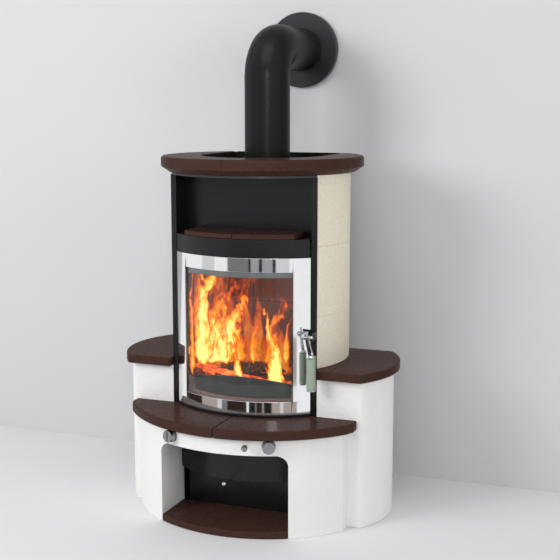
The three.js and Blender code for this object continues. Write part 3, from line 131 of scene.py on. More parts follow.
plain_stage("backdrop", 16, (0, 0.3462, 0), (math.pi / 2, 0, 0), (0.66, 0.66, 0.67, 1), 0.45)


def soft_lamp(name, place, target, size, power):
    """A square lamp turned towards its target."""
    lamp_data = bpy.data.lights.new(name, "AREA")
    lamp_data.size = size
    lamp_data.energy = power
    lamp = bpy.data.objects.new(name, lamp_data)
    lamp.location = place
    aim = [t - p for t, p in zip(target, place)]
    flat = math.hypot(aim[0], aim[1])
    lamp.rotation_euler = (math.atan2(flat, -aim[2]), 0, math.atan2(-aim[0], aim[1]))
    bpy.context.scene.collection.objects.link(lamp)
    return lamp


soft_lamp("lamp_left", (-2.3, -3.1, 2.3), (0, 0, 0.7), 1.6, 80).visible_glossy = False
soft_lamp("lamp_front", (1.7, -4.4, 2.0), (0, 0, 0.9), 0.8, 26)
soft_lamp("lamp_right", (3.4, -2.0, 1.8), (0, 0, 0.7), 1.6, 26).visible_glossy = False
soft_lamp("lamp_top", (0.3, -1.6, 3.6), (0, 0.1, 0.6), 2.0, 20)

# Bright metal and the camera see the surround brighter than it lights the stove.
lighting_level, added_in_mirrors, added_in_view = 0.36, 0.62, 0.5
world = bpy.data.worlds.new("surround")
bpy.context.scene.world = world
world.use_nodes = True
world_tree = world.node_tree
surround = set_inputs(world_tree.nodes["Background"], {"Color": (0.94, 0.96, 1.0, 1)})
rays = added(world_tree, "LightPath")
in_mirrors = added(world_tree, "Math")
in_view = added(world_tree, "Math")
in_mirrors.operation = in_view.operation = "MULTIPLY_ADD"
in_mirrors.inputs[1].default_value = added_in_mirrors
in_mirrors.inputs[2].default_value = lighting_level
in_view.inputs[1].default_value = added_in_view
world_tree.links.new(rays.outputs["Is Glossy Ray"], in_mirrors.inputs[0])
world_tree.links.new(rays.outputs["Is Camera Ray"], in_view.inputs[0])
world_tree.links.new(in_mirrors.outputs["Value"], in_view.inputs[2])
world_tree.links.new(in_view.outputs["Value"], surround.inputs["Strength"])

card_distance = 1.3


def studio_card(name, start, end, low, high, tone):
    """An upright card that only bright metal mirrors, placed by its angles round the stove."""
    card = primitive(name, bpy.ops.mesh.primitive_plane_add, size=1)
    corners = [(math.radians(angle), height) for height in (low, high) for angle in (start, end)]
    for vertex, (angle, height) in zip(card.data.vertices, corners):
        vertex.co = (card_distance * math.sin(angle), -card_distance * math.cos(angle), height)
    values = {"Base Color": (0, 0, 0, 1), "Specular IOR Level": 0, "Emission Color": tone,
              "Emission Strength": 1}
    card.data.materials.append(new_material(name, values)[0])
    card.visible_camera = card.visible_diffuse = False
    card.visible_shadow = card.visible_transmission = False
    card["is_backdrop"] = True


# The low cards show in the lower rail of the door's frame, the high ones in its upper rail.
dark, brown, beige = (0.012, 0.012, 0.013, 1), (0.03, 0.017, 0.013, 1), (0.42, 0.36, 0.32, 1)
mid, grey, pale = (0.19, 0.19, 0.2, 1), (0.36, 0.36, 0.37, 1), (0.68, 0.69, 0.71, 1)
low_cards = ((-76, -53, brown), (-53, -34, beige), (-34, -29, pale), (-29, -23, mid),
             (-23, -3.2, brown), (-1, 5, dark), (5, 6.5, mid), (6.5, 12, brown), (12, 13.5, beige),
             (13.5, 21, dark), (21, 29, beige), (29, 32, pale), (32, 45, beige))
high_cards = ((-52, -37, pale), (-22.5, -1, mid), (-1, 1, dark), (1, 9, grey), (9, 12, dark),
              (12, 22, grey), (22, 25, dark), (25, 38, pale))
for row, low, high, cards in (("low", 0.2, 0.4, low_cards), ("high", 0.56, 0.78, high_cards)):
    for i, (start, end, tone) in enumerate(cards):
        studio_card(f"{row}_card_{i + 1}", start, end, low, high, tone)

# ---------------------------------------- glazed tiles
# Cast and fired clay tiles with a dark brown glaze, rounded on every edge. They lie loose on the
# masonry and on the stove: the top ring, the benches, the ledge, the warming plate and the niche.


def rgb(code):
    """A hexadecimal paint code as the light values that a shader takes."""
    shades = []
    for i in (0, 2, 4):
        part = int(code[i:i + 2], 16) / 255
        shades.append(part / 12.92 if part <= 0.04045 else ((part + 0.055) / 1.055) ** 2.4)
    return (*shades, 1)


def pick(piece):
    """Makes a piece the only one that the next step works on."""
    bpy.ops.object.select_all(action="DESELECT")
    piece.select_set(True)
    bpy.context.view_layer.objects.active = piece


def edit_all(piece):
    """Opens a piece for editing with all of it selected."""
    pick(piece)
    bpy.ops.object.mode_set(mode="EDIT")
    bpy.ops.mesh.select_all(action="SELECT")


def close_up(piece):
    """Merges what lies on itself, turns the faces outwards and leaves edit mode."""
    bpy.ops.mesh.select_all(action="SELECT")
    bpy.ops.mesh.remove_doubles(threshold=0.00001)
    bpy.ops.mesh.normals_make_consistent(inside=False)
    bpy.ops.object.mode_set(mode="OBJECT")
    return piece


def outline(name, corners, fill="NGON"):
    """A flat face, or only its rim, with its corners at the given places."""
    add = bpy.ops.mesh.primitive_circle_add
    piece = primitive(name, add, vertices=len(corners), radius=0.1, fill_type=fill)
    for vertex, corner in zip(piece.data.vertices, corners):
        vertex.co = corner
    return piece


def drawn_out(name, corners, way):
    """A flat outline drawn out along a straight way."""
    piece = outline(name, corners)
    edit_all(piece)
    bpy.ops.mesh.extrude_region_move(TRANSFORM_OT_translate={"value": way})
    return close_up(piece)


def raised(name, plan, bottom, top):
    """An outline drawn in plan and drawn up from one height to another."""
    return drawn_out(name, [(x, y, bottom) for x, y in plan], (0, 0, top - bottom))


def swept(name, profile, centre_y, start, end, steps):
    """Sweeps a closed profile of (radius, height) pairs round an upright axis, from 0 in front."""
    a = math.radians(start)
    corners = [(r * math.sin(a), centre_y - r * math.cos(a), z) for r, z in profile]
    whole = end - start == 360
    piece = outline(name, corners, "NOTHING" if whole else "NGON")
    edit_all(piece)
    bpy.ops.mesh.spin(steps=steps, angle=math.radians(end - start), center=(0, centre_y, 0),
                      axis=(0, 0, -1))
    return close_up(piece)


def cut_off(piece, place, direction):
    """Saws off what lies beyond a plane and closes the cut."""
    edit_all(piece)
    bpy.ops.mesh.bisect(plane_co=place, plane_no=direction, use_fill=True, clear_outer=True)
    return close_up(piece)


def applied(piece, kind, **settings):
    """Sets up one modifier on a piece and makes it final."""
    pick(piece)
    step = piece.modifiers.new(kind, kind)
    for setting, value in settings.items():
        setattr(step, setting, value)
    bpy.ops.object.modifier_apply(modifier=step.name)
    return piece


def carve(piece, *tools):
    """Cuts the tools' shapes out of a piece and takes the tools away."""
    for tool in tools:
        applied(piece, "BOOLEAN", operation="DIFFERENCE", solver="EXACT", object=tool)
        bpy.data.objects.remove(tool)
    return piece


def mirrored(piece, name):
    """A copy on the other side of the stove, with a mesh of its own."""
    pick(piece)
    bpy.ops.object.duplicate()
    copy = bpy.context.object
    copy.name = copy.data.name = name
    edit_all(copy)
    bpy.ops.transform.resize(value=(-1, 1, 1), center_override=(0, 0, 0))
    return close_up(copy)


def shade(piece):
    """Shades the curves smoothly and keeps flat faces flat."""
    pick(piece)
    bpy.ops.object.shade_smooth_by_angle(angle=math.radians(32))
    return applied(piece, "WEIGHTED_NORMAL", keep_sharp=True)


def soften(piece, width, segments):
    """Rounds the sharp edges and shades the curves smoothly."""
    sharp = math.radians(35)
    return shade(applied(piece, "BEVEL", width=width, segments=segments, limit_method="ANGLE",
                         angle_limit=sharp))


def even_steps(start, end, steps):
    """Numbers at even steps from the first to the last."""
    return [start + (end - start) * i / steps for i in range(steps + 1)]


def front_arc(centre_y, radius, from_x, to_x, steps):
    """Points along the front of a circle round the stove's middle plane."""
    turns = even_steps(math.asin(from_x / radius), math.asin(to_x / radius), steps)
    return [(radius * math.sin(a), centre_y - radius * math.cos(a)) for a in turns]


def bowed_plan(centre_y, radius, half, back, steps):
    """The plan of a piece with a bowed front and a straight back."""
    return front_arc(centre_y, radius, -half, half, steps) + [(half, back), (-half, back)]


def side_arc(centre_x, centre_y, radius, from_y, to_y, steps):
    """Points along the right-hand side of a circle, from one depth to another."""
    start, end = (math.asin((y - centre_y) / radius) for y in (from_y, to_y))
    return [(centre_x + radius * math.cos(a), centre_y + radius * math.sin(a))
            for a in even_steps(start, end, steps)]


def new_group(name, inputs, outputs):
    """A group of shader nodes with its sockets, each given by its name and kind."""
    tree = bpy.data.node_groups.new(name, "ShaderNodeTree")
    for way, sockets in (("INPUT", inputs), ("OUTPUT", outputs)):
        for socket, kind in sockets.items():
            tree.interface.new_socket(socket, in_out=way, socket_type="NodeSocket" + kind)
    return tree, tree.nodes.new("NodeGroupInput"), tree.nodes.new("NodeGroupOutput")


def variation_group():
    """Cloudy changes of colour, sheen and height that every material shares."""
    inputs = {"Base": "Color", "Tint": "Color", "Scale": "Float", "Stretch": "Float", "Low": "Float",
              "High": "Float"}
    outputs = {"Color": "Color", "Rough": "Float", "Height": "Float"}
    tree, given, made = new_group("variation", inputs, outputs)
    place = added(tree, "TexCoord")
    stretch = added(tree, "CombineXYZ", {"X": 1, "Y": 1})
    scaled = added(tree, "VectorMath")
    scaled.operation = "MULTIPLY"
    noise = added(tree, "TexNoise", {"Detail": 5, "Roughness": 0.6})
    mix = added(tree, "Mix")
    mix.data_type = "RGBA"
    sheen = added(tree, "MapRange", {"From Min": 0.3, "From Max": 0.7})
    link = tree.links.new
    link(given.outputs["Stretch"], stretch.inputs["Z"])
    link(place.outputs["Object"], scaled.inputs[0])
    link(stretch.outputs["Vector"], scaled.inputs[1])
    link(scaled.outputs["Vector"], noise.inputs["Vector"])
    link(given.outputs["Scale"], noise.inputs["Scale"])
    link(noise.outputs["Fac"], mix.inputs["Factor"])
    link(given.outputs["Base"], mix.inputs["A"])
    link(given.outputs["Tint"], mix.inputs["B"])
    link(noise.outputs["Fac"], sheen.inputs["Value"])
    link(given.outputs["Low"], sheen.inputs["To Min"])
    link(given.outputs["High"], sheen.inputs["To Max"])
    link(mix.outputs["Result"], made.inputs["Color"])
    link(sheen.outputs["Result"], made.inputs["Rough"])
    link(noise.outputs["Fac"], made.inputs["Height"])
    return tree


variation = variation_group()


def varied(tree, values):
    """The shared variation, set for one material."""
    shared = added(tree, "Group")
    shared.name = "variation"
    shared.node_tree = variation
    return set_inputs(shared, values)


def surface(name, base, tint, scale, low, high, relief, metallic=0, coat=0, stretch=1, specular=0.5):
    """A material whose colour, sheen and relief change a little from place to place."""
    values = {"Metallic": metallic, "Coat Weight": coat, "Coat Roughness": low,
              "Specular IOR Level": specular}
    material, tree, shader = new_material(name, values)
    shared = varied(tree, {"Base": rgb(base), "Tint": rgb(tint), "Scale": scale, "Stretch": stretch,
                           "Low": low, "High": high})
    bump = added(tree, "Bump", {"Strength": 0.6, "Distance": relief})
    tree.links.new(shared.outputs["Color"], shader.inputs["Base Color"])
    tree.links.new(shared.outputs["Rough"], shader.inputs["Roughness"])
    tree.links.new(shared.outputs["Height"], bump.inputs["Height"])
    tree.links.new(bump.outputs["Normal"], shader.inputs["Normal"])
    return material


def fit(piece, body, slot, material, *plain):
    """Gives a finished piece its material and its body, in place of the plain pieces."""
    piece.data.materials.clear()
    piece.data.materials.append(material)
    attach(piece, body)
    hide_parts(*plain)
    return piece


def fit_both_sides(right, node, slot, material, width, segments):
    """Mirrors a right-hand piece to the left, rounds both and fits them."""
    left = mirrored(right, right.name.replace("right", "left"))
    for piece, side in ((right, "right"), (left, "left")):
        fit(soften(piece, width, segments), "root", slot, material, f"{node}_{side}")


glaze = surface("glaze", "3a2722", "4c342d", 60, 0.24, 0.34, 0.00005, coat=0.09, specular=0.01)
half_joint = 0.0004
quarter_turn = math.pi / 2

ring_radius, ring_bottom, ring_top, ring_rounding = 0.332, 1.1145, 1.1644, 0.009
ring_edge = [(ring_radius - ring_rounding * (1 - math.cos(a)),
              ring_top - ring_rounding * (1 - math.sin(a))) for a in even_steps(0, quarter_turn, 8)]
ring_profile = [(0.16, ring_bottom), (0.307, ring_bottom), (ring_radius, 1.132), *ring_edge,
                (0.16, ring_top)]
ring_right = swept("ring_right_glazed", ring_profile, -0.043, 0, 180, 90)
cut_off(ring_right, (0, 0.195, 0), (0, 1, 0))
cut_off(ring_right, (half_joint, 0, 0), (-1, 0, 0))
opening_centre, opening_radius = -0.038, 0.203
ring_opening = front_arc(opening_centre, opening_radius, -0.2029, 0.2029, 64)
ring_opening += [(opening_radius, 0.4), (-opening_radius, 0.4)]
carve(ring_right, raised("ring_opening", ring_opening, 1.0, 1.3))
fit_both_sides(ring_right, "top_ring", "glazed_tile", glaze, 0.0014, 2)

# The bow of the front wall, and the bow of the stove's own front with a little air round it.
wall_centre, wall_radius = 0.009, 0.443
front_centre, clear_of_front = 0.048, 0.3523
masonry_back = -0.2143

ledge_radius, ledge_end, ledge_inner_end = 0.469, 0.385, 0.2168
ledge_corner = wall_centre - math.sqrt(ledge_radius ** 2 - ledge_end ** 2)
ledge_plan = front_arc(wall_centre, ledge_radius, half_joint, 0.374, 60)
ledge_plan += [(0.3795, ledge_corner + 0.0012), (0.3835, ledge_corner + 0.0055),
               (ledge_end, ledge_corner + 0.012), (ledge_end, masonry_back),
               (ledge_inner_end, masonry_back)]
ledge_plan += front_arc(front_centre, clear_of_front, ledge_inner_end, half_joint, 36)[1:]
ledge_right = raised("ledge_right_glazed", ledge_plan, 0.3215, 0.3523)
fit_both_sides(ledge_right, "ledge_tile", "glazed_tile", glaze, 0.0045, 4)

body_centre, cladding_inside = -0.057, 0.263


def side_plan(radius, front, rear, inner_corner, outer_corner):
    """The plan of a bench or plinth: bowed outside, cut round the stove inside."""
    bow_x, bow_y, inner_end = 0.183, -0.058, 0.2508
    outer = side_arc(bow_x, bow_y, radius, front + outer_corner, rear, 60)
    corner_x = side_arc(bow_x, bow_y, radius, front, rear, 1)[0][0]
    inner_front = body_centre - math.sqrt(cladding_inside ** 2 - inner_end ** 2)
    plan = outer + side_arc(0, body_centre, cladding_inside, rear, inner_front, 24)
    for a in even_steps(0, quarter_turn, 6):
        x = inner_end + inner_corner * (1 - math.cos(a))
        plan.append((x, front + inner_corner * (1 - math.sin(a))))
    for i in range(1, 6):
        t = i / 6
        start_x, end_x = corner_x - outer_corner, outer[0][0]
        x = (1 - t) ** 2 * start_x + 2 * t * (1 - t) * corner_x + t * t * end_x
        plan.append((x, front + t * t * outer_corner))
    return plan


bench_plan = side_plan(0.287, -0.242, 0.125, 0.011, 0.004)
bench_right = raised("bench_right_glazed", bench_plan, 0.477, 0.5055)
fit_both_sides(bench_right, "bench_tile", "glazed_tile", glaze, 0.0045, 4)

warming_end, warming_back = 0.188, -0.14
warming_plan = front_arc(front_centre, 0.351, half_joint, warming_end, 32)
warming_plan += [(warming_end, warming_back), (half_joint, warming_back)]
warming_right = raised("warming_right_glazed", warming_plan, 0.9168, 0.9318)
fit_both_sides(warming_right, "warming_tile", "glazed_tile", glaze, 0.0025, 3)

niche_plan = bowed_plan(wall_centre, wall_radius, 0.216, -0.2223, 64)
niche_tile = soften(raised("niche_floor_glazed", niche_plan, 0, 0.023), 0.004, 3)
fit(niche_tile, "root", "glazed_tile", glaze, "niche_floor_tile")

# ---------------------------------------- plastered masonry
# The front wall with its niche, and the two plinths: blocks covered by hand with fine white plaster,
# their corners only slightly rounded.

plaster = surface("plaster", "eeedeb", "f6f5f3", 62, 0.8, 0.95, 0.003)


def drawn_back(name, elevation, front, back):
    """An outline drawn in front view and drawn back from one depth to another."""
    return drawn_out(name, [(x, front, z) for x, z in elevation], (0, back - front, 0))


wall_plan = bowed_plan(wall_centre, wall_radius, 0.355, masonry_back, 96)
front_wall = raised("front_wall_plastered", wall_plan, 0, 0.3212)
niche_half, corner_x, corner_z, corner = 0.217, 0.181, 0.231, 0.036
niche_view = [(-niche_half, -0.02), (niche_half, -0.02), (niche_half, corner_z)]
niche_view += [(corner_x + corner * math.cos(a), corner_z + corner * math.sin(a))
               for a in even_steps(0, quarter_turn, 10)[1:]]
niche_view += [(-corner_x - corner * math.sin(a), corner_z + corner * math.cos(a))
               for a in even_steps(0, quarter_turn, 10)]
hollow_plan = bowed_plan(wall_centre, 0.403, niche_half, 0, 64)
carve(front_wall, drawn_back("niche_mouth", niche_view, -0.6, 0),
      raised("niche_hollow", hollow_plan, -0.02, 0.36))
fit(soften(front_wall, 0.003, 3), "root", "plaster", plaster, "front_base_wall")

plinth_plan = side_plan(0.267, -0.214, 0.1, 0.002, 0.018)
plinth_right = raised("plinth_right_plastered", plinth_plan, 0, 0.4767)
fit_both_sides(plinth_right, "plinth", "plaster", plaster, 0.003, 3)

# ---------------------------------------- stone cladding
# Three courses of bowed pale limestone a side, sawn and finely pitted, with thin open joints.
# They stand on the benches and carry the ring.

stone = surface("pale_stone", "dccba8", "fffcf0", 170, 0.75, 0.92, 0.001)

cladding_outside, stone_front, stone_back, stone_end = 0.293, -0.2107, 0.165, 0.2358
stone_inner_front = body_centre - math.sqrt(cladding_inside ** 2 - stone_end ** 2)
stone_plan = side_arc(0, body_centre, cladding_outside, stone_front, stone_back, 64)
stone_plan += side_arc(0, body_centre, cladding_inside, stone_back, stone_inner_front, 48)
stone_plan += [(stone_end, stone_front)]
for course, bottom, top in ((1, 0.5058, 0.6716), (2, 0.6722, 0.8926), (3, 0.8932, 1.1142)):
    right = raised(f"stone_{course}_right_sawn", stone_plan, bottom, top)
    fit_both_sides(right, f"stone_{course}", "pale_stone", stone, 0.0008, 1)

# ---------------------------------------- steel body
# Folded sheet steel sprayed with black heat-proof paint: posts, fascia, sill, lower front, pedestal,
# casing, compartment, shield, and the collars in the ring's opening and round the pipe. The narrow
# strip under the ring is rolled from dark grey steel.

black_steel = surface("black_steel", "121213", "18181a", 240, 0.26, 0.34, 0.00003, specular=0.3)
grey_steel = surface("grey_steel", "5c5c5d", "6e6e6f", 160, 0.4, 0.55, 0.00005, metallic=0.7)
front_radius, sheet = 0.352, 0.003


def cut_ends(piece, reach):
    """Saws off both ends at the same reach."""
    cut_off(piece, (reach, 0, 0), (1, 0, 0))
    return cut_off(piece, (-reach, 0, 0), (-1, 0, 0))


def square_section(inside, outside, bottom, top):
    """The profile of a ring or strip with four square corners."""
    return [(inside, bottom), (outside, bottom), (outside, top), (inside, top)]


def bowed_channel(name, reach, bottom, top, depth):
    """A bowed front folded back above and below, cut straight at both ends."""
    inside = front_radius - depth
    profile = [(inside, bottom), (front_radius, bottom), (front_radius, top), (inside, top),
               (inside, top - sheet), (front_radius - sheet, top - sheet),
               (front_radius - sheet, bottom + sheet), (inside, bottom + sheet)]
    turn = math.degrees(math.asin(reach / inside)) + 1
    return cut_ends(swept(name, profile, front_centre, -turn, turn, 72), reach)


fascia = bowed_channel("fascia_painted", 0.228, 0.86, 0.9165, 0.02)
lower_front = bowed_channel("lower_front_painted", 0.2165, 0.14, 0.3523, 0.03)
sill_profile = square_section(0.3256, 0.356, 0.3526, 0.3595)
sill = cut_ends(swept("sill_painted", sill_profile, front_centre, -45, 45, 72), 0.232)
for piece, node in ((fascia, "fascia"), (lower_front, "lower_front"), (sill, "sill")):
    fit(soften(piece, 0.0008, 2), "root", "black_steel", black_steel, node)

trim_back = 0.154  # from the middle of the cladding to the strip's straight back edge
trim_half = math.sqrt(cladding_outside ** 2 - trim_back ** 2)
trim_plan = front_arc(body_centre, cladding_outside, -trim_half, trim_half, 96)
trim = soften(raised("top_trim_rolled", trim_plan, 1.1073, 1.114), 0.0008, 2)
trim_steel = surface("trim_steel", "3d3c3c", "4a4949", 120, 0.3, 0.4, 0.00004, metallic=0.8)
fit(trim, "root", "polished_steel", trim_steel, "top_trim")

plate_top, collar_top = 1.1135, 1.158
foot_profile = [(0.0753, 1.1073), (0.0903, 1.1073), (0.0903, plate_top), (0.0783, plate_top),
                (0.0783, collar_top), (0.0753, collar_top)]
pipe_foot = soften(swept("top_plate_painted", foot_profile, 0, 0, 360, 96), 0.0006, 2)
fit(pipe_foot, "root", "black_steel", black_steel)

collar_back, flap_back = 0.193, 0.1948
flap = [(0.2026, flap_back), (0.1885, flap_back), (0.1885, collar_back), (0.201, collar_back)]
collar_plan = front_arc(opening_centre, 0.2026, -0.2025, 0.2025, 64) + flap
collar_plan += front_arc(opening_centre, 0.201, 0.2009, -0.2009, 64)
collar_plan += [(-x, y) for x, y in reversed(flap)]
ring_collar = raised("ring_collar_painted", collar_plan, 1.1147, 1.1625)
fit(shade(ring_collar), "root", "black_steel", black_steel)

for name in ("pedestal", "casing", "side_frame_right", "side_frame_left", "compartment_liner",
             "top_plate", "rear_shield"):
    nodes[name].data.materials[0] = black_steel
for name in ("air_box", "firebox_shell", "firebox_face", "ash_pan"):
    nodes[name].data.materials[0] = grey_steel

# ---------------------------------------- door
# A shallow bowed tray of mirror-polished sheet with bowed ceramic glass behind its window, held by a
# grey retainer. A rope gasket closes it on the firebox. It turns on two pins at the left.

frame_half, frame_bottom, frame_top = 0.231, 0.36, 0.8585
window_half, window_bottom, window_top = 0.185, 0.402, 0.814
glass_half, glass_bottom, glass_top = 0.197, 0.39, 0.826


def polished_sheet():
    """Mirror polish. Below the window, the sheet's shading leans back by five degrees."""
    material = surface("polished_steel", "e6e7e9", "f2f3f4", 30, 0.05, 0.1, 0.00002, metallic=1)
    tree = material.node_tree
    place = added(tree, "TexCoord")
    split = added(tree, "SeparateXYZ")
    lean = added(tree, "MapRange", {"From Min": 0.352, "From Max": window_bottom, "To Min": 0.0046,
                                    "To Max": 0})
    relief = added(tree, "Bump", {"Strength": 1, "Distance": 1})
    tree.links.new(place.outputs["Object"], split.inputs["Vector"])
    tree.links.new(split.outputs["Z"], lean.inputs["Value"])
    tree.links.new(lean.outputs["Result"], relief.inputs["Height"])
    tree.links.new(tree.nodes["Bump"].outputs["Normal"], relief.inputs["Normal"])
    tree.links.new(relief.outputs["Normal"], tree.nodes["Principled BSDF"].inputs["Normal"])
    return material


polished = polished_sheet()
rope = surface("rope", "7c7b78", "94928e", 500, 0.85, 0.95, 0.0008)


def bowed_band(name, outer, inner, half, bottom, top):
    """A plate bowed like the stove's front, between two radii."""
    plan = front_arc(front_centre, outer, -half, half, 80)
    return raised(name, plan + front_arc(front_centre, inner, half, -half, 80), bottom, top)


def settled(piece):
    """Makes a piece's place, turn and scale part of its mesh."""
    bpy.ops.object.transform_apply(location=True, rotation=True, scale=True)
    return piece


def block(name, low, high):
    """A plain block between two corners."""
    middle = [(a + b) / 2 for a, b in zip(low, high)]
    extent = [b - a for a, b in zip(low, high)]
    add = bpy.ops.mesh.primitive_cube_add
    return settled(primitive(name, add, size=1, location=middle, scale=extent))


door_frame = bowed_band("door_frame_polished", front_radius, 0.34, frame_half, frame_bottom, frame_top)
carve(door_frame,
      bowed_band("tray_hollow", front_radius - sheet, 0.305, frame_half - sheet, frame_bottom + sheet,
                 frame_top - sheet),
      block("window", (-window_half, -0.6, window_bottom), (window_half, 0, window_top)))
fit(soften(door_frame, 0.0012, 3), "door", "polished_steel", polished, "door_frame")

retainer = bowed_band("glass_retainer_bowed", 0.3444, 0.3404, glass_half, glass_bottom, glass_top)
carve(retainer, block("retainer_window", (-0.186, -0.6, 0.401), (0.186, 0, 0.796)))
fit(soften(retainer, 0.0006, 1), "door", "grey_steel", grey_steel, "glass_retainer")


def clear_glass():
    """Clear ceramic glass that lets the fire's light out without a shadow."""
    values = {"Base Color": rgb("f4f7f6"), "Transmission Weight": 1, "IOR": 1.36}
    material, tree, shader = new_material("clear_glass", values)
    shared = varied(tree, {"Scale": 8, "Stretch": 1, "Low": 0.0, "High": 0.03})
    clear = added(tree, "BsdfTransparent").outputs["BSDF"]
    in_shadows = added(tree, "LightPath").outputs["Is Shadow Ray"]
    whole = mixed(tree, in_shadows, shader.outputs["BSDF"], clear)
    tree.links.new(shared.outputs["Rough"], shader.inputs["Roughness"])
    tree.links.new(whole, tree.nodes["Material Output"].inputs["Surface"])
    return material


door_glass = bowed_band("door_glass_bowed", 0.3487, 0.3447, glass_half, glass_bottom, glass_top)
fit(shade(door_glass), "door", "clear_glass", clear_glass(), "door_glass")
nodes["door_gasket"].data.materials[0] = rope

# ---------------------------------------- door handle
# A chromed cross pin with a ball end turns in a boss on the door. Its strap tapers down to a round
# grip of pale heat-proof coating between a cap and a foot.

chrome = surface("chrome", "c9cbcd", "d6d7d9", 40, 0.06, 0.12, 0.00002, metallic=1)
grip_coat = surface("grip_coat", "93a08e", "a2ad9c", 120, 0.3, 0.4, 0.00008, coat=0.3)
pin_y, pin_z, grip_x = -0.26, 0.615, 0.2485
hub = 0.00002  # how far a turned profile stays off its axis


def moved(piece, place, turn=(0, 0, 0)):
    """Turns and shifts a piece made at the origin to where it belongs."""
    pick(piece)
    piece.rotation_euler = turn
    piece.location = place
    return settled(piece)


def turned(name, profile, steps=48):
    """A profile of (radius, height) pairs, closed on itself, turned about the upright axis."""
    return swept(name, profile, 0, 0, 360, steps)


def joined(first, *others):
    """Makes several pieces one."""
    bpy.ops.object.select_all(action="DESELECT")
    for piece in (first, *others):
        piece.select_set(True)
    bpy.context.view_layer.objects.active = first
    bpy.ops.object.join()
    return first


def round_bar(name, radius, length):
    """A bar with rounded ends that stands on the origin."""
    edge = 0.0008
    return turned(name, [(hub, 0), (radius - edge, 0), (radius, edge), (radius, length - edge),
                         (radius - edge, length), (hub, length)], 32)


def ball(name, radius, place):
    """A plain ball."""
    add = bpy.ops.mesh.primitive_uv_sphere_add
    return settled(primitive(name, add, segments=32, ring_count=20, radius=radius, location=place))


along_x = (0, quarter_turn, 0)
pin = moved(round_bar("handle_lever_chromed", 0.004, 0.0335), (0.216, pin_y, pin_z), along_x)
pin_ball = ball("pin_ball", 0.0055, (0.2495, pin_y, pin_z))
strap_view = [(0.2295, 0.621), (0.2295, 0.605), (0.2405, 0.5533), (0.2575, 0.5533), (0.243, 0.601),
              (0.243, 0.621)]
strap = soften(drawn_back("strap", strap_view, -0.2635, -0.2565), 0.0012, 3)
spur = moved(round_bar("spur", 0.003, 0.019), (0.2345, pin_y, pin_z))
strap_ball = ball("strap_ball", 0.0045, (0.2525, -0.2635, 0.5653))
cap_profile = [(hub, 0), (0.012, 0), (0.0145, 0.003), (0.0142, 0.005), (0.0105, 0.0088), (hub, 0.009)]
cap = moved(turned("grip_cap", cap_profile), (grip_x, pin_y, 0.5493))
core = moved(round_bar("grip_core", 0.006, 0.1035), (grip_x, pin_y, 0.448))
foot = moved(round_bar("grip_foot", 0.014, 0.004), (grip_x, pin_y, 0.4447))
lever = joined(pin, pin_ball, strap, spur, strap_ball, cap, core, foot)
fit(shade(lever), "handle", "chrome", chrome, "handle_lever")

grip_profile = [(0.0063, 0), (0.0133, 0), (0.0142, 0.0004), (0.0145, 0.0014), (0.0145, 0.0986),
                (0.0142, 0.0996), (0.0133, 0.1), (0.0063, 0.1)]
grip = moved(turned("handle_grip_coated", grip_profile), (grip_x, pin_y, 0.449))
fit(shade(grip), "handle", "grip_coat", grip_coat, "handle_grip")

boss_radius, boss_start, boss_width = 0.0075, 0.2195, 0.0075
boss_side = [(pin_y - boss_radius * math.sin(a), pin_z + boss_radius * math.cos(a))
             for a in even_steps(0, math.pi, 16)]
boss_side += [(-0.214, 0.606), (-0.214, 0.624)]
boss_side = [(boss_start, y, z) for y, z in boss_side]
boss = drawn_out("handle_boss_chromed", boss_side, (boss_width, 0, 0))
carve(boss, raised("door_body", bowed_plan(front_centre, clear_of_front, 0.24, 0, 48), 0.5, 0.7),
      moved(round_bar("pin_hole", 0.0043, 0.05), (0.2, pin_y, pin_z), along_x))
fit(soften(boss, 0.001, 2), "door", "chrome", chrome, "handle_boss")

# ---------------------------------------- controls on the front wall
# Two rotary air controls on round plates, a small pull for the damper, and the ball of the shutter's
# rod in the niche. All are turned steel.

control_height = 0.299


def on_wall(piece, x):
    """Stands a piece made about the upright axis square on the face of the front wall."""
    a = math.asin(x / wall_radius)
    place = (x, wall_centre - wall_radius * math.cos(a), control_height)
    return moved(piece, place, (quarter_turn, 0, a))


knob_steel = surface("knob_steel", "5f5f61", "b4b5b7", 260, 0.16, 0.3, 0.0002, metallic=1)


def air_knob(name, x):
    """A turned knob on its spindle, with a ridge across its face to grip it by."""
    profile = [(hub, -0.02), (0.004, -0.02), (0.004, 0.0031), (0.0172, 0.0031), (0.0195, 0.005),
               (0.0195, 0.0232), (0.0186, 0.0246), (0.0168, 0.0251), (hub, 0.0251)]
    body = turned(name, profile, 64)
    ridge = soften(block("ridge", (-0.0025, -0.0145, 0.0231), (0.0025, 0.0145, 0.0281)), 0.0008, 2)
    return on_wall(joined(body, ridge), x)


plate_profile = [(0.0043, 0.0003), (0.0215, 0.0003), (0.0215, 0.002), (0.0207, 0.0028),
                 (0.0043, 0.0028)]
for side, x in (("right", 0.163), ("left", -0.163)):
    plate = turned(f"escutcheon_{side}_chromed", plate_profile, 64)
    fit(shade(on_wall(plate, x)), "root", "chrome", knob_steel, f"escutcheon_{side}")
    fit(shade(air_knob(f"air_knob_{side}_chromed", x)), f"air_control_{side}", "chrome", knob_steel,
        f"air_knob_{side}")

pull_profile = [(hub, -0.2), (0.003, -0.2), (0.003, 0.022), (0.0072, 0.022), (0.0097, 0.0245),
                (0.01, 0.0265), (0.0095, 0.0315), (0.008, 0.0335), (0.006, 0.034), (hub, 0.034)]
pull = on_wall(turned("damper_pull_chromed", pull_profile), 0.096)
fit(shade(pull), "damper", "chrome", knob_steel, "damper_pull")

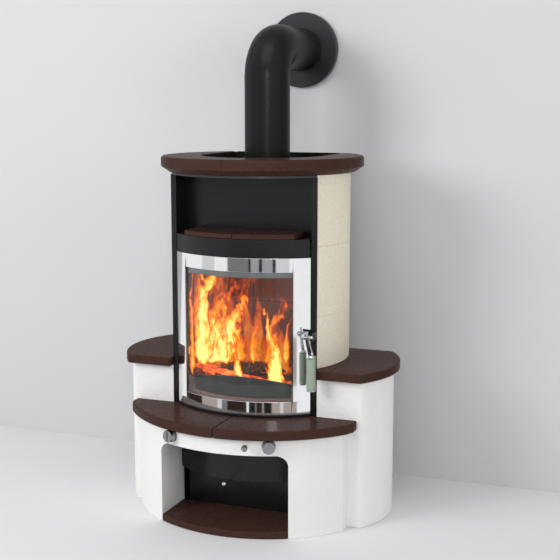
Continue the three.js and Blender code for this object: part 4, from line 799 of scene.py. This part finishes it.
rod_start = (0, -0.373, 0.15)
shutter_ball = ball("intake_shutter_chromed", 0.0075, rod_start)
shutter_rod = moved(round_bar("shutter_rod", 0.004, 0.108), rod_start, (-quarter_turn, 0, 0))
shutter_plate = block("shutter_plate", (-0.045, -0.266, 0.1485), (0.045, -0.196, 0.1515))
shutter = joined(shutter_ball, shutter_rod, shutter_plate)
fit(shade(shutter), "shutter", "chrome", chrome, "intake_shutter")

# ---------------------------------------- firebox
# Boards of fireproof clay line the welded box. A guard of grey rolled steel, bowed like the door, keeps
# the logs from the glass, and a cast grate lies over the ash pan.


def lining_board():
    """Sooted red-brown board with open joints every 190 mm along and every 220 mm up."""
    material = surface("fire_brick", "553a33", "785850", 26, 0.85, 0.95, 0.0008)
    tree = material.node_tree
    place = added(tree, "TexCoord")
    split = added(tree, "SeparateXYZ")
    along = added(tree, "Math")
    lift = added(tree, "Math")
    lift.inputs[1].default_value = 0.005
    flat = added(tree, "CombineXYZ")
    joints = added(tree, "TexBrick", {
        "Color1": (1, 1, 1, 1), "Color2": (1, 1, 1, 1), "Mortar": (0.12, 0.1, 0.1, 1), "Scale": 1,
        "Mortar Size": 0.0016, "Mortar Smooth": 0.4, "Brick Width": 0.19, "Row Height": 0.22})
    joints.offset = 0
    darken = added(tree, "Mix")
    darken.data_type = "RGBA"
    darken.blend_type = "MULTIPLY"
    darken.inputs["Factor"].default_value = 1
    link = tree.links.new
    link(place.outputs["Object"], split.inputs["Vector"])
    link(split.outputs["X"], along.inputs[0])
    link(split.outputs["Y"], along.inputs[1])
    link(split.outputs["Z"], lift.inputs[0])
    link(along.outputs["Value"], flat.inputs["X"])
    link(lift.outputs["Value"], flat.inputs["Y"])
    link(flat.outputs["Vector"], joints.inputs["Vector"])
    link(tree.nodes["variation"].outputs["Color"], darken.inputs["A"])
    link(joints.outputs["Color"], darken.inputs["B"])
    link(darken.outputs["Result"], tree.nodes["Principled BSDF"].inputs["Base Color"])
    return material


fire_brick = lining_board()
cast_iron = surface("cast_iron", "1e1e1f", "2b2b2c", 160, 0.5, 0.65, 0.0004, metallic=0.5)
for name in ("hearth_slab", "side_lining_right", "side_lining_left", "back_lining", "baffle"):
    nodes[name].data.materials[0] = fire_brick
nodes["grate"].data.materials[0] = cast_iron

# The guard's colour runs in upright streaks from black to grey. These are painted sheen: they stand in
# for the light and dark bands that the bowed steel mirrors.
guard_steel_painted_sheen = surface("guard_steel_painted_sheen", "000000", "505052", 16, 0.3, 0.5, 0.00002, metallic=0.9,
                      stretch=0.02)
guard_half, guard_crown, arch_drop = 0.17, 0.472, 0.024
guard_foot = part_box("log_guard")[0][2]
guard = bowed_band("log_guard_rolled", 0.315, 0.31, 0.168, guard_foot, 0.474)
above_arch = [(-guard_half, 0.5)]
above_arch += [(guard_half * i / 24, guard_crown - arch_drop * (i / 24) ** 2) for i in range(-24, 25)]
above_arch += [(guard_half, 0.5)]
carve(guard, drawn_back("above_arch", above_arch, -0.4, 0))
fit(soften(guard, 0.001, 2), "root", "cast_iron", guard_steel_painted_sheen, "log_guard")

# ---------------------------------------- firewood
# Three logs of firewood, each split in half and charred black, with glowing cracks. They are laid
# loose: two side by side on the hearth, and one across them.


def colour_ramp(tree, steps):
    """A ramp through pairs of place and colour."""
    ramp = added(tree, "ValToRGB")
    elements = ramp.color_ramp.elements
    elements[0].position, elements[0].color = steps[0]
    elements[1].position, elements[1].color = steps[-1]
    for position, colour in steps[1:-1]:
        elements.new(position).color = colour
    return ramp


def let_glow(material, texture, output, strength, *steps):
    """Lets a material glow in the colours that a texture picks from a ramp."""
    tree = material.node_tree
    shader = set_inputs(tree.nodes["Principled BSDF"], {"Emission Strength": strength})
    heat = colour_ramp(tree, steps)
    tree.links.new(added(tree, "TexCoord").outputs["Object"], texture.inputs["Vector"])
    tree.links.new(texture.outputs[output], heat.inputs["Fac"])
    tree.links.new(heat.outputs["Color"], shader.inputs["Emission Color"])


charred = surface("charred_wood", "120d0a", "2e2119", 60, 0.8, 0.95, 0.003)
cracks = added(charred.node_tree, "TexVoronoi", {"Scale": 42})
cracks.feature = "DISTANCE_TO_EDGE"
let_glow(charred, cracks, "Distance", 0.6, (0.0, (1.0, 0.14, 0.01, 1)), (0.022, (0, 0, 0, 1)))
bark = bpy.data.textures.new("bark", "CLOUDS")
bark.noise_scale = 0.035
log_radius, log_length = 0.036, 0.262


def split_log(name, centre, turn):
    """Half of a round log, rounded at its edges and rough all over."""
    add = bpy.ops.mesh.primitive_cylinder_add
    log = settled(primitive(name, add, vertices=32, radius=log_radius, depth=log_length,
                            rotation=along_x))
    cut_off(log, (0, 0, 0.001), (0, 0, -1))
    soften(log, 0.003, 2)
    edit_all(log)
    bpy.ops.mesh.subdivide(number_cuts=3)
    bpy.ops.mesh.subdivide(number_cuts=1)
    bpy.ops.object.mode_set(mode="OBJECT")
    applied(log, "DISPLACE", texture=bark, strength=-0.008, mid_level=0.3)
    return shade(moved(log, centre, (0, 0, turn)))


for name, centre, turn in (("log_front", (-0.008, -0.118, 0.4062), 0),
                           ("log_rear", (0.012, -0.026, 0.4062), 0),
                           ("log_top", (0, -0.072, 0.4445), 0.42)):
    fit(split_log(name + "_charred", centre, turn), "root", "firewood", charred, name)

# ---------------------------------------- fire
# A bed of embers lies round the logs. The flames are thin curved sheets, ragged at their edges,
# yellow inside and red outside, with a red haze of hot gas behind them.

embers = surface("embers", "17110e", "3a2c25", 90, 0.85, 0.95, 0.002)
coals = added(embers.node_tree, "TexNoise", {"Scale": 38, "Detail": 4})
let_glow(embers, coals, "Fac", 1.3, (0.36, (0.22, 0.014, 0.0, 1)), (0.52, (0.9, 0.085, 0.012, 1)),
         (0.72, (1.0, 0.38, 0.06, 1)))

# The embers are heaped up behind the guard, most of all at its left.
bed_width, bed_depth, bed_middle, bed_height = 0.372, 0.268, -0.068, 0.412
pile_start, pile_reach, pile_height, pile_slope, slope_end = -0.09, 0.06, 0.034, 0.16, 0.05
lumps = bpy.data.textures.new("lumps", "CLOUDS")
lumps.noise_scale = 0.018
ember_bed = primitive("ember_bed", bpy.ops.mesh.primitive_grid_add, x_subdivisions=72,
                      y_subdivisions=52, size=1, location=(0, bed_middle, bed_height))
ember_bed.scale = (bed_width, bed_depth, 1)
settled(ember_bed)
for vertex in ember_bed.data.vertices:
    pile = min(max((pile_start - vertex.co.y) / pile_reach, 0), 1)
    vertex.co.z += pile * (pile_height - pile_slope * min(vertex.co.x, slope_end))
applied(ember_bed, "DISPLACE", texture=lumps, strength=0.016, mid_level=0.35)
applied(ember_bed, "SOLIDIFY", thickness=0.004)
fit(shade(ember_bed), "root", "firewood", embers)


def flame_group():
    """Colour and cover of a flame from its own UV map, torn up by noise. Heat is how hot it burns."""
    tree, given, made = new_group("flame_glow", {"Heat": "Float"}, {"Glow": "Color", "Cover": "Float"})
    place = added(tree, "TexCoord")
    link = tree.links.new

    def calc(kind, first, second=0.0, third=0.0):
        node = added(tree, "Math")
        node.operation = kind
        for socket, value in zip(node.inputs, (first, second, third)):
            if isinstance(value, (int, float)):
                socket.default_value = value
            else:
                link(value, socket)
        return node.outputs["Value"]

    def torn(scale, distortion, detail):
        noise = added(tree, "TexNoise", {"Scale": scale, "Detail": detail, "Distortion": distortion})
        link(stretched.outputs["Vector"], noise.inputs["Vector"])
        return noise

    stretched = added(tree, "VectorMath")
    stretched.operation = "MULTIPLY"
    stretched.inputs[1].default_value = (1, 1, 0.5)
    link(place.outputs["Object"], stretched.inputs[0])
    split = added(tree, "SeparateXYZ")
    link(place.outputs["UV"], split.inputs["Vector"])
    shift = added(tree, "SeparateColor")
    link(torn(17, 0.6, 2.5).outputs["Color"], shift.inputs["Color"])
    up = calc("MULTIPLY_ADD", calc("SUBTRACT", shift.outputs["Green"], 0.5), 0.55, split.outputs["Y"])
    pull = calc("MULTIPLY_ADD", split.outputs["Y"], 1.1, 0.35)
    aside = calc("MULTIPLY", calc("SUBTRACT", shift.outputs["Red"], 0.5), pull)
    across = calc("ABSOLUTE", calc("MULTIPLY_ADD", calc("ADD", split.outputs["X"], aside), 2, -1))
    low = calc("MAXIMUM", calc("SUBTRACT", 1, up), 0)
    half = calc("MULTIPLY", calc("POWER", low, 0.65), 0.82)
    inside = calc("SUBTRACT", half, across)
    wisps = calc("MULTIPLY_ADD", torn(46, 1.6, 4).outputs["Fac"], 1.5, -0.72)
    foot = calc("MULTIPLY", calc("MAXIMUM", calc("SUBTRACT", 0.1, split.outputs["Y"]), 0), 6)
    burning = calc("SUBTRACT", calc("ADD", calc("MULTIPLY", wisps, 0.62), inside), foot)
    heat = calc("MULTIPLY", calc("MULTIPLY", burning, given.outputs["Heat"]),
                calc("MULTIPLY_ADD", low, 0.5, 0.62))
    colour = colour_ramp(tree, ((0.0, (0.42, 0.022, 0.0, 1)), (0.16, (0.9, 0.1, 0.006, 1)),
                                (0.34, (1.0, 0.27, 0.012, 1)), (0.55, (1.0, 0.5, 0.045, 1)),
                                (0.9, (1.0, 0.84, 0.24, 1))))
    cover = added(tree, "MapRange", {"From Max": 0.26})
    cover.interpolation_type = "SMOOTHSTEP"
    link(heat, colour.inputs["Fac"])
    link(heat, cover.inputs["Value"])
    link(colour.outputs["Color"], made.inputs["Glow"])
    link(cover.outputs["Result"], made.inputs["Cover"])
    return tree


flame_glow = flame_group()


def flame_material(name, heat, strength):
    """Glowing gas, clear where the flame is torn."""
    values = {"Base Color": (0, 0, 0, 1), "Roughness": 1, "Specular IOR Level": 0,
              "Emission Strength": strength}
    material, tree, shader = new_material(name, values)
    glow = added(tree, "Group")
    glow.node_tree = flame_glow
    glow.inputs["Heat"].default_value = heat
    tree.links.new(glow.outputs["Glow"], shader.inputs["Emission Color"])
    tree.links.new(glow.outputs["Cover"], shader.inputs["Alpha"])
    return material


hot = flame_material("flame_hot", 2.4, 1.3)
cool = flame_material("flame_cool", 0.85, 1.1)
haze = flame_material("flame_haze", 0.6, 0.72)


def tongue(name, foot, bend, tip, depth, width, material):
    """One tongue: a bowed sheet that follows a curve from its foot past its bend to its tip."""
    sheet = primitive(name, bpy.ops.mesh.primitive_grid_add, x_subdivisions=12, y_subdivisions=30,
                      size=1)
    for vertex in sheet.data.vertices:
        side, up = vertex.co.x, vertex.co.y + 0.5
        x, z = ((1 - up) ** 2 * a + 2 * up * (1 - up) * b + up * up * c
                for a, b, c in zip(foot, bend, tip))
        run, rise = (2 * (1 - up) * (b - a) + 2 * up * (c - b) for a, b, c in zip(foot, bend, tip))
        length = math.hypot(run, rise)
        bow = 0.01 * (side * side * 4 - 1) * (1 - up)
        vertex.co = (x + side * width * rise / length, depth + bow, z - side * width * run / length)
    return fit(shade(sheet), "root", "firewood", material)


# Foot, bend and tip are given across and up, as seen from the front. Depth and width follow.
tongues = (((-0.180, 0.45), (-0.182, 0.620), (-0.183, 0.85), -0.206, 0.036, cool),
           ((-0.146, 0.488), (-0.142, 0.650), (-0.136, 0.86), -0.200, 0.112, hot),
           ((-0.135, 0.488), (-0.125, 0.560), (-0.130, 0.67), -0.168, 0.240, hot),
           ((-0.165, 0.600), (-0.155, 0.698), (-0.185, 0.85), -0.180, 0.110, cool),
           ((-0.100, 0.488), (-0.114, 0.600), (-0.009, 0.745), -0.150, 0.160, hot),
           ((-0.136, 0.540), (-0.143, 0.672), (-0.049, 0.770), -0.140, 0.110, cool),
           ((-0.048, 0.486), (-0.051, 0.545), (-0.065, 0.610), -0.120, 0.080, cool),
           ((0.004, 0.486), (-0.008, 0.561), (0.010, 0.660), -0.120, 0.050, cool),
           ((0.096, 0.415), (0.094, 0.538), (0.053, 0.680), -0.165, 0.080, hot),
           ((0.085, 0.489), (0.058, 0.590), (0.134, 0.720), -0.160, 0.095, cool),
           ((0.125, 0.500), (0.121, 0.574), (0.139, 0.670), -0.140, 0.035, cool),
           ((-0.028, 0.440), (-0.032, 0.476), (-0.039, 0.530), -0.175, 0.045, hot),
           ((-0.130, 0.440), (-0.129, 0.640), (-0.160, 0.880), -0.090, 0.320, haze),
           ((-0.030, 0.440), (-0.037, 0.590), (-0.050, 0.800), -0.050, 0.340, haze),
           ((0.050, 0.440), (0.056, 0.540), (0.061, 0.650), -0.060, 0.220, haze))
for i, (foot, bend, tip, depth, width, material) in enumerate(tongues):
    tongue(f"flame_{i + 1}", foot, bend, tip, depth, width, material)

fire_light = bpy.data.lights.new("fire_light", "POINT")
fire_light.color = (1.0, 0.42, 0.17)
fire_light.energy = 4
fire_light.shadow_soft_size = 0.05
fire_lamp = bpy.data.objects.new("fire_light", fire_light)
fire_lamp.location = (-0.09, -0.13, 0.6)
fire_lamp.visible_camera = fire_lamp.visible_glossy = fire_lamp.visible_transmission = False
bpy.context.scene.collection.objects.link(fire_lamp)

# ---------------------------------------- flue
# Thick-walled steel pipe with satin dark paint: an upright pipe in the collar of the stove, a pressed
# bend and a tail into the wall, where a flat pressed rosette covers the hole.

flue_paint = surface("flue_paint", "0d0d0e", "131314", 200, 0.26, 0.33, 0.00004, specular=0.2)
pipe_inside, pipe_radius, pipe_start, pipe_end = 0.073, 0.075, 1.1108, 1.4117
bend_start, bend_radius, tail_length, wall_thickness = 1.412, 0.105, 0.2397, 0.002
wall_face, rosette_height = 0.345, 1.517

pipe_profile = square_section(pipe_inside, pipe_radius, pipe_start, pipe_end)
pipe = turned("flue_pipe_painted", pipe_profile, 96)
fit(shade(pipe), "root", "flue_paint", flue_paint, "flue_pipe")

rim = [(pipe_radius * math.cos(a), pipe_radius * math.sin(a), bend_start)
       for a in (math.pi * i / 48 for i in range(96))]
elbow = outline("flue_elbow_painted", rim, "NOTHING")
edit_all(elbow)
bpy.ops.mesh.spin(steps=40, angle=quarter_turn, center=(0, bend_radius, bend_start), axis=(1, 0, 0))
bpy.ops.mesh.extrude_region_move(TRANSFORM_OT_translate={"value": (0, tail_length, 0)})
applied(close_up(elbow), "SOLIDIFY", thickness=wall_thickness)
fit(shade(elbow), "root", "flue_paint", flue_paint, "flue_bend", "flue_tail")

rosette_profile = [(0.127, 0), (0.131, 0), (0.131, 0.0165), (0.1302, 0.0188), (0.128, 0.02),
                   (0.0753, 0.02), (0.0753, 0.018), (0.127, 0.018)]
rosette = turned("wall_rosette_painted", rosette_profile, 96)
moved(rosette, (0, wall_face, rosette_height), (quarter_turn, 0, 0))
# The rosette gets a lighter copy of the flue's paint. This is painted light: it makes up for the lamp
# light that the rosette's flat face does not mirror.
rosette_paint_with_painted_light = surface("rosette_paint_with_painted_light", "1b1b1c", "252526", 200, 0.3, 0.4, 0.00004)
fit(shade(rosette), "root", "flue_paint", rosette_paint_with_painted_light, "wall_rosette")

# ---------------------------------------- end
# The size of the finished model, as its lowest and its highest corner.

low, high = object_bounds()
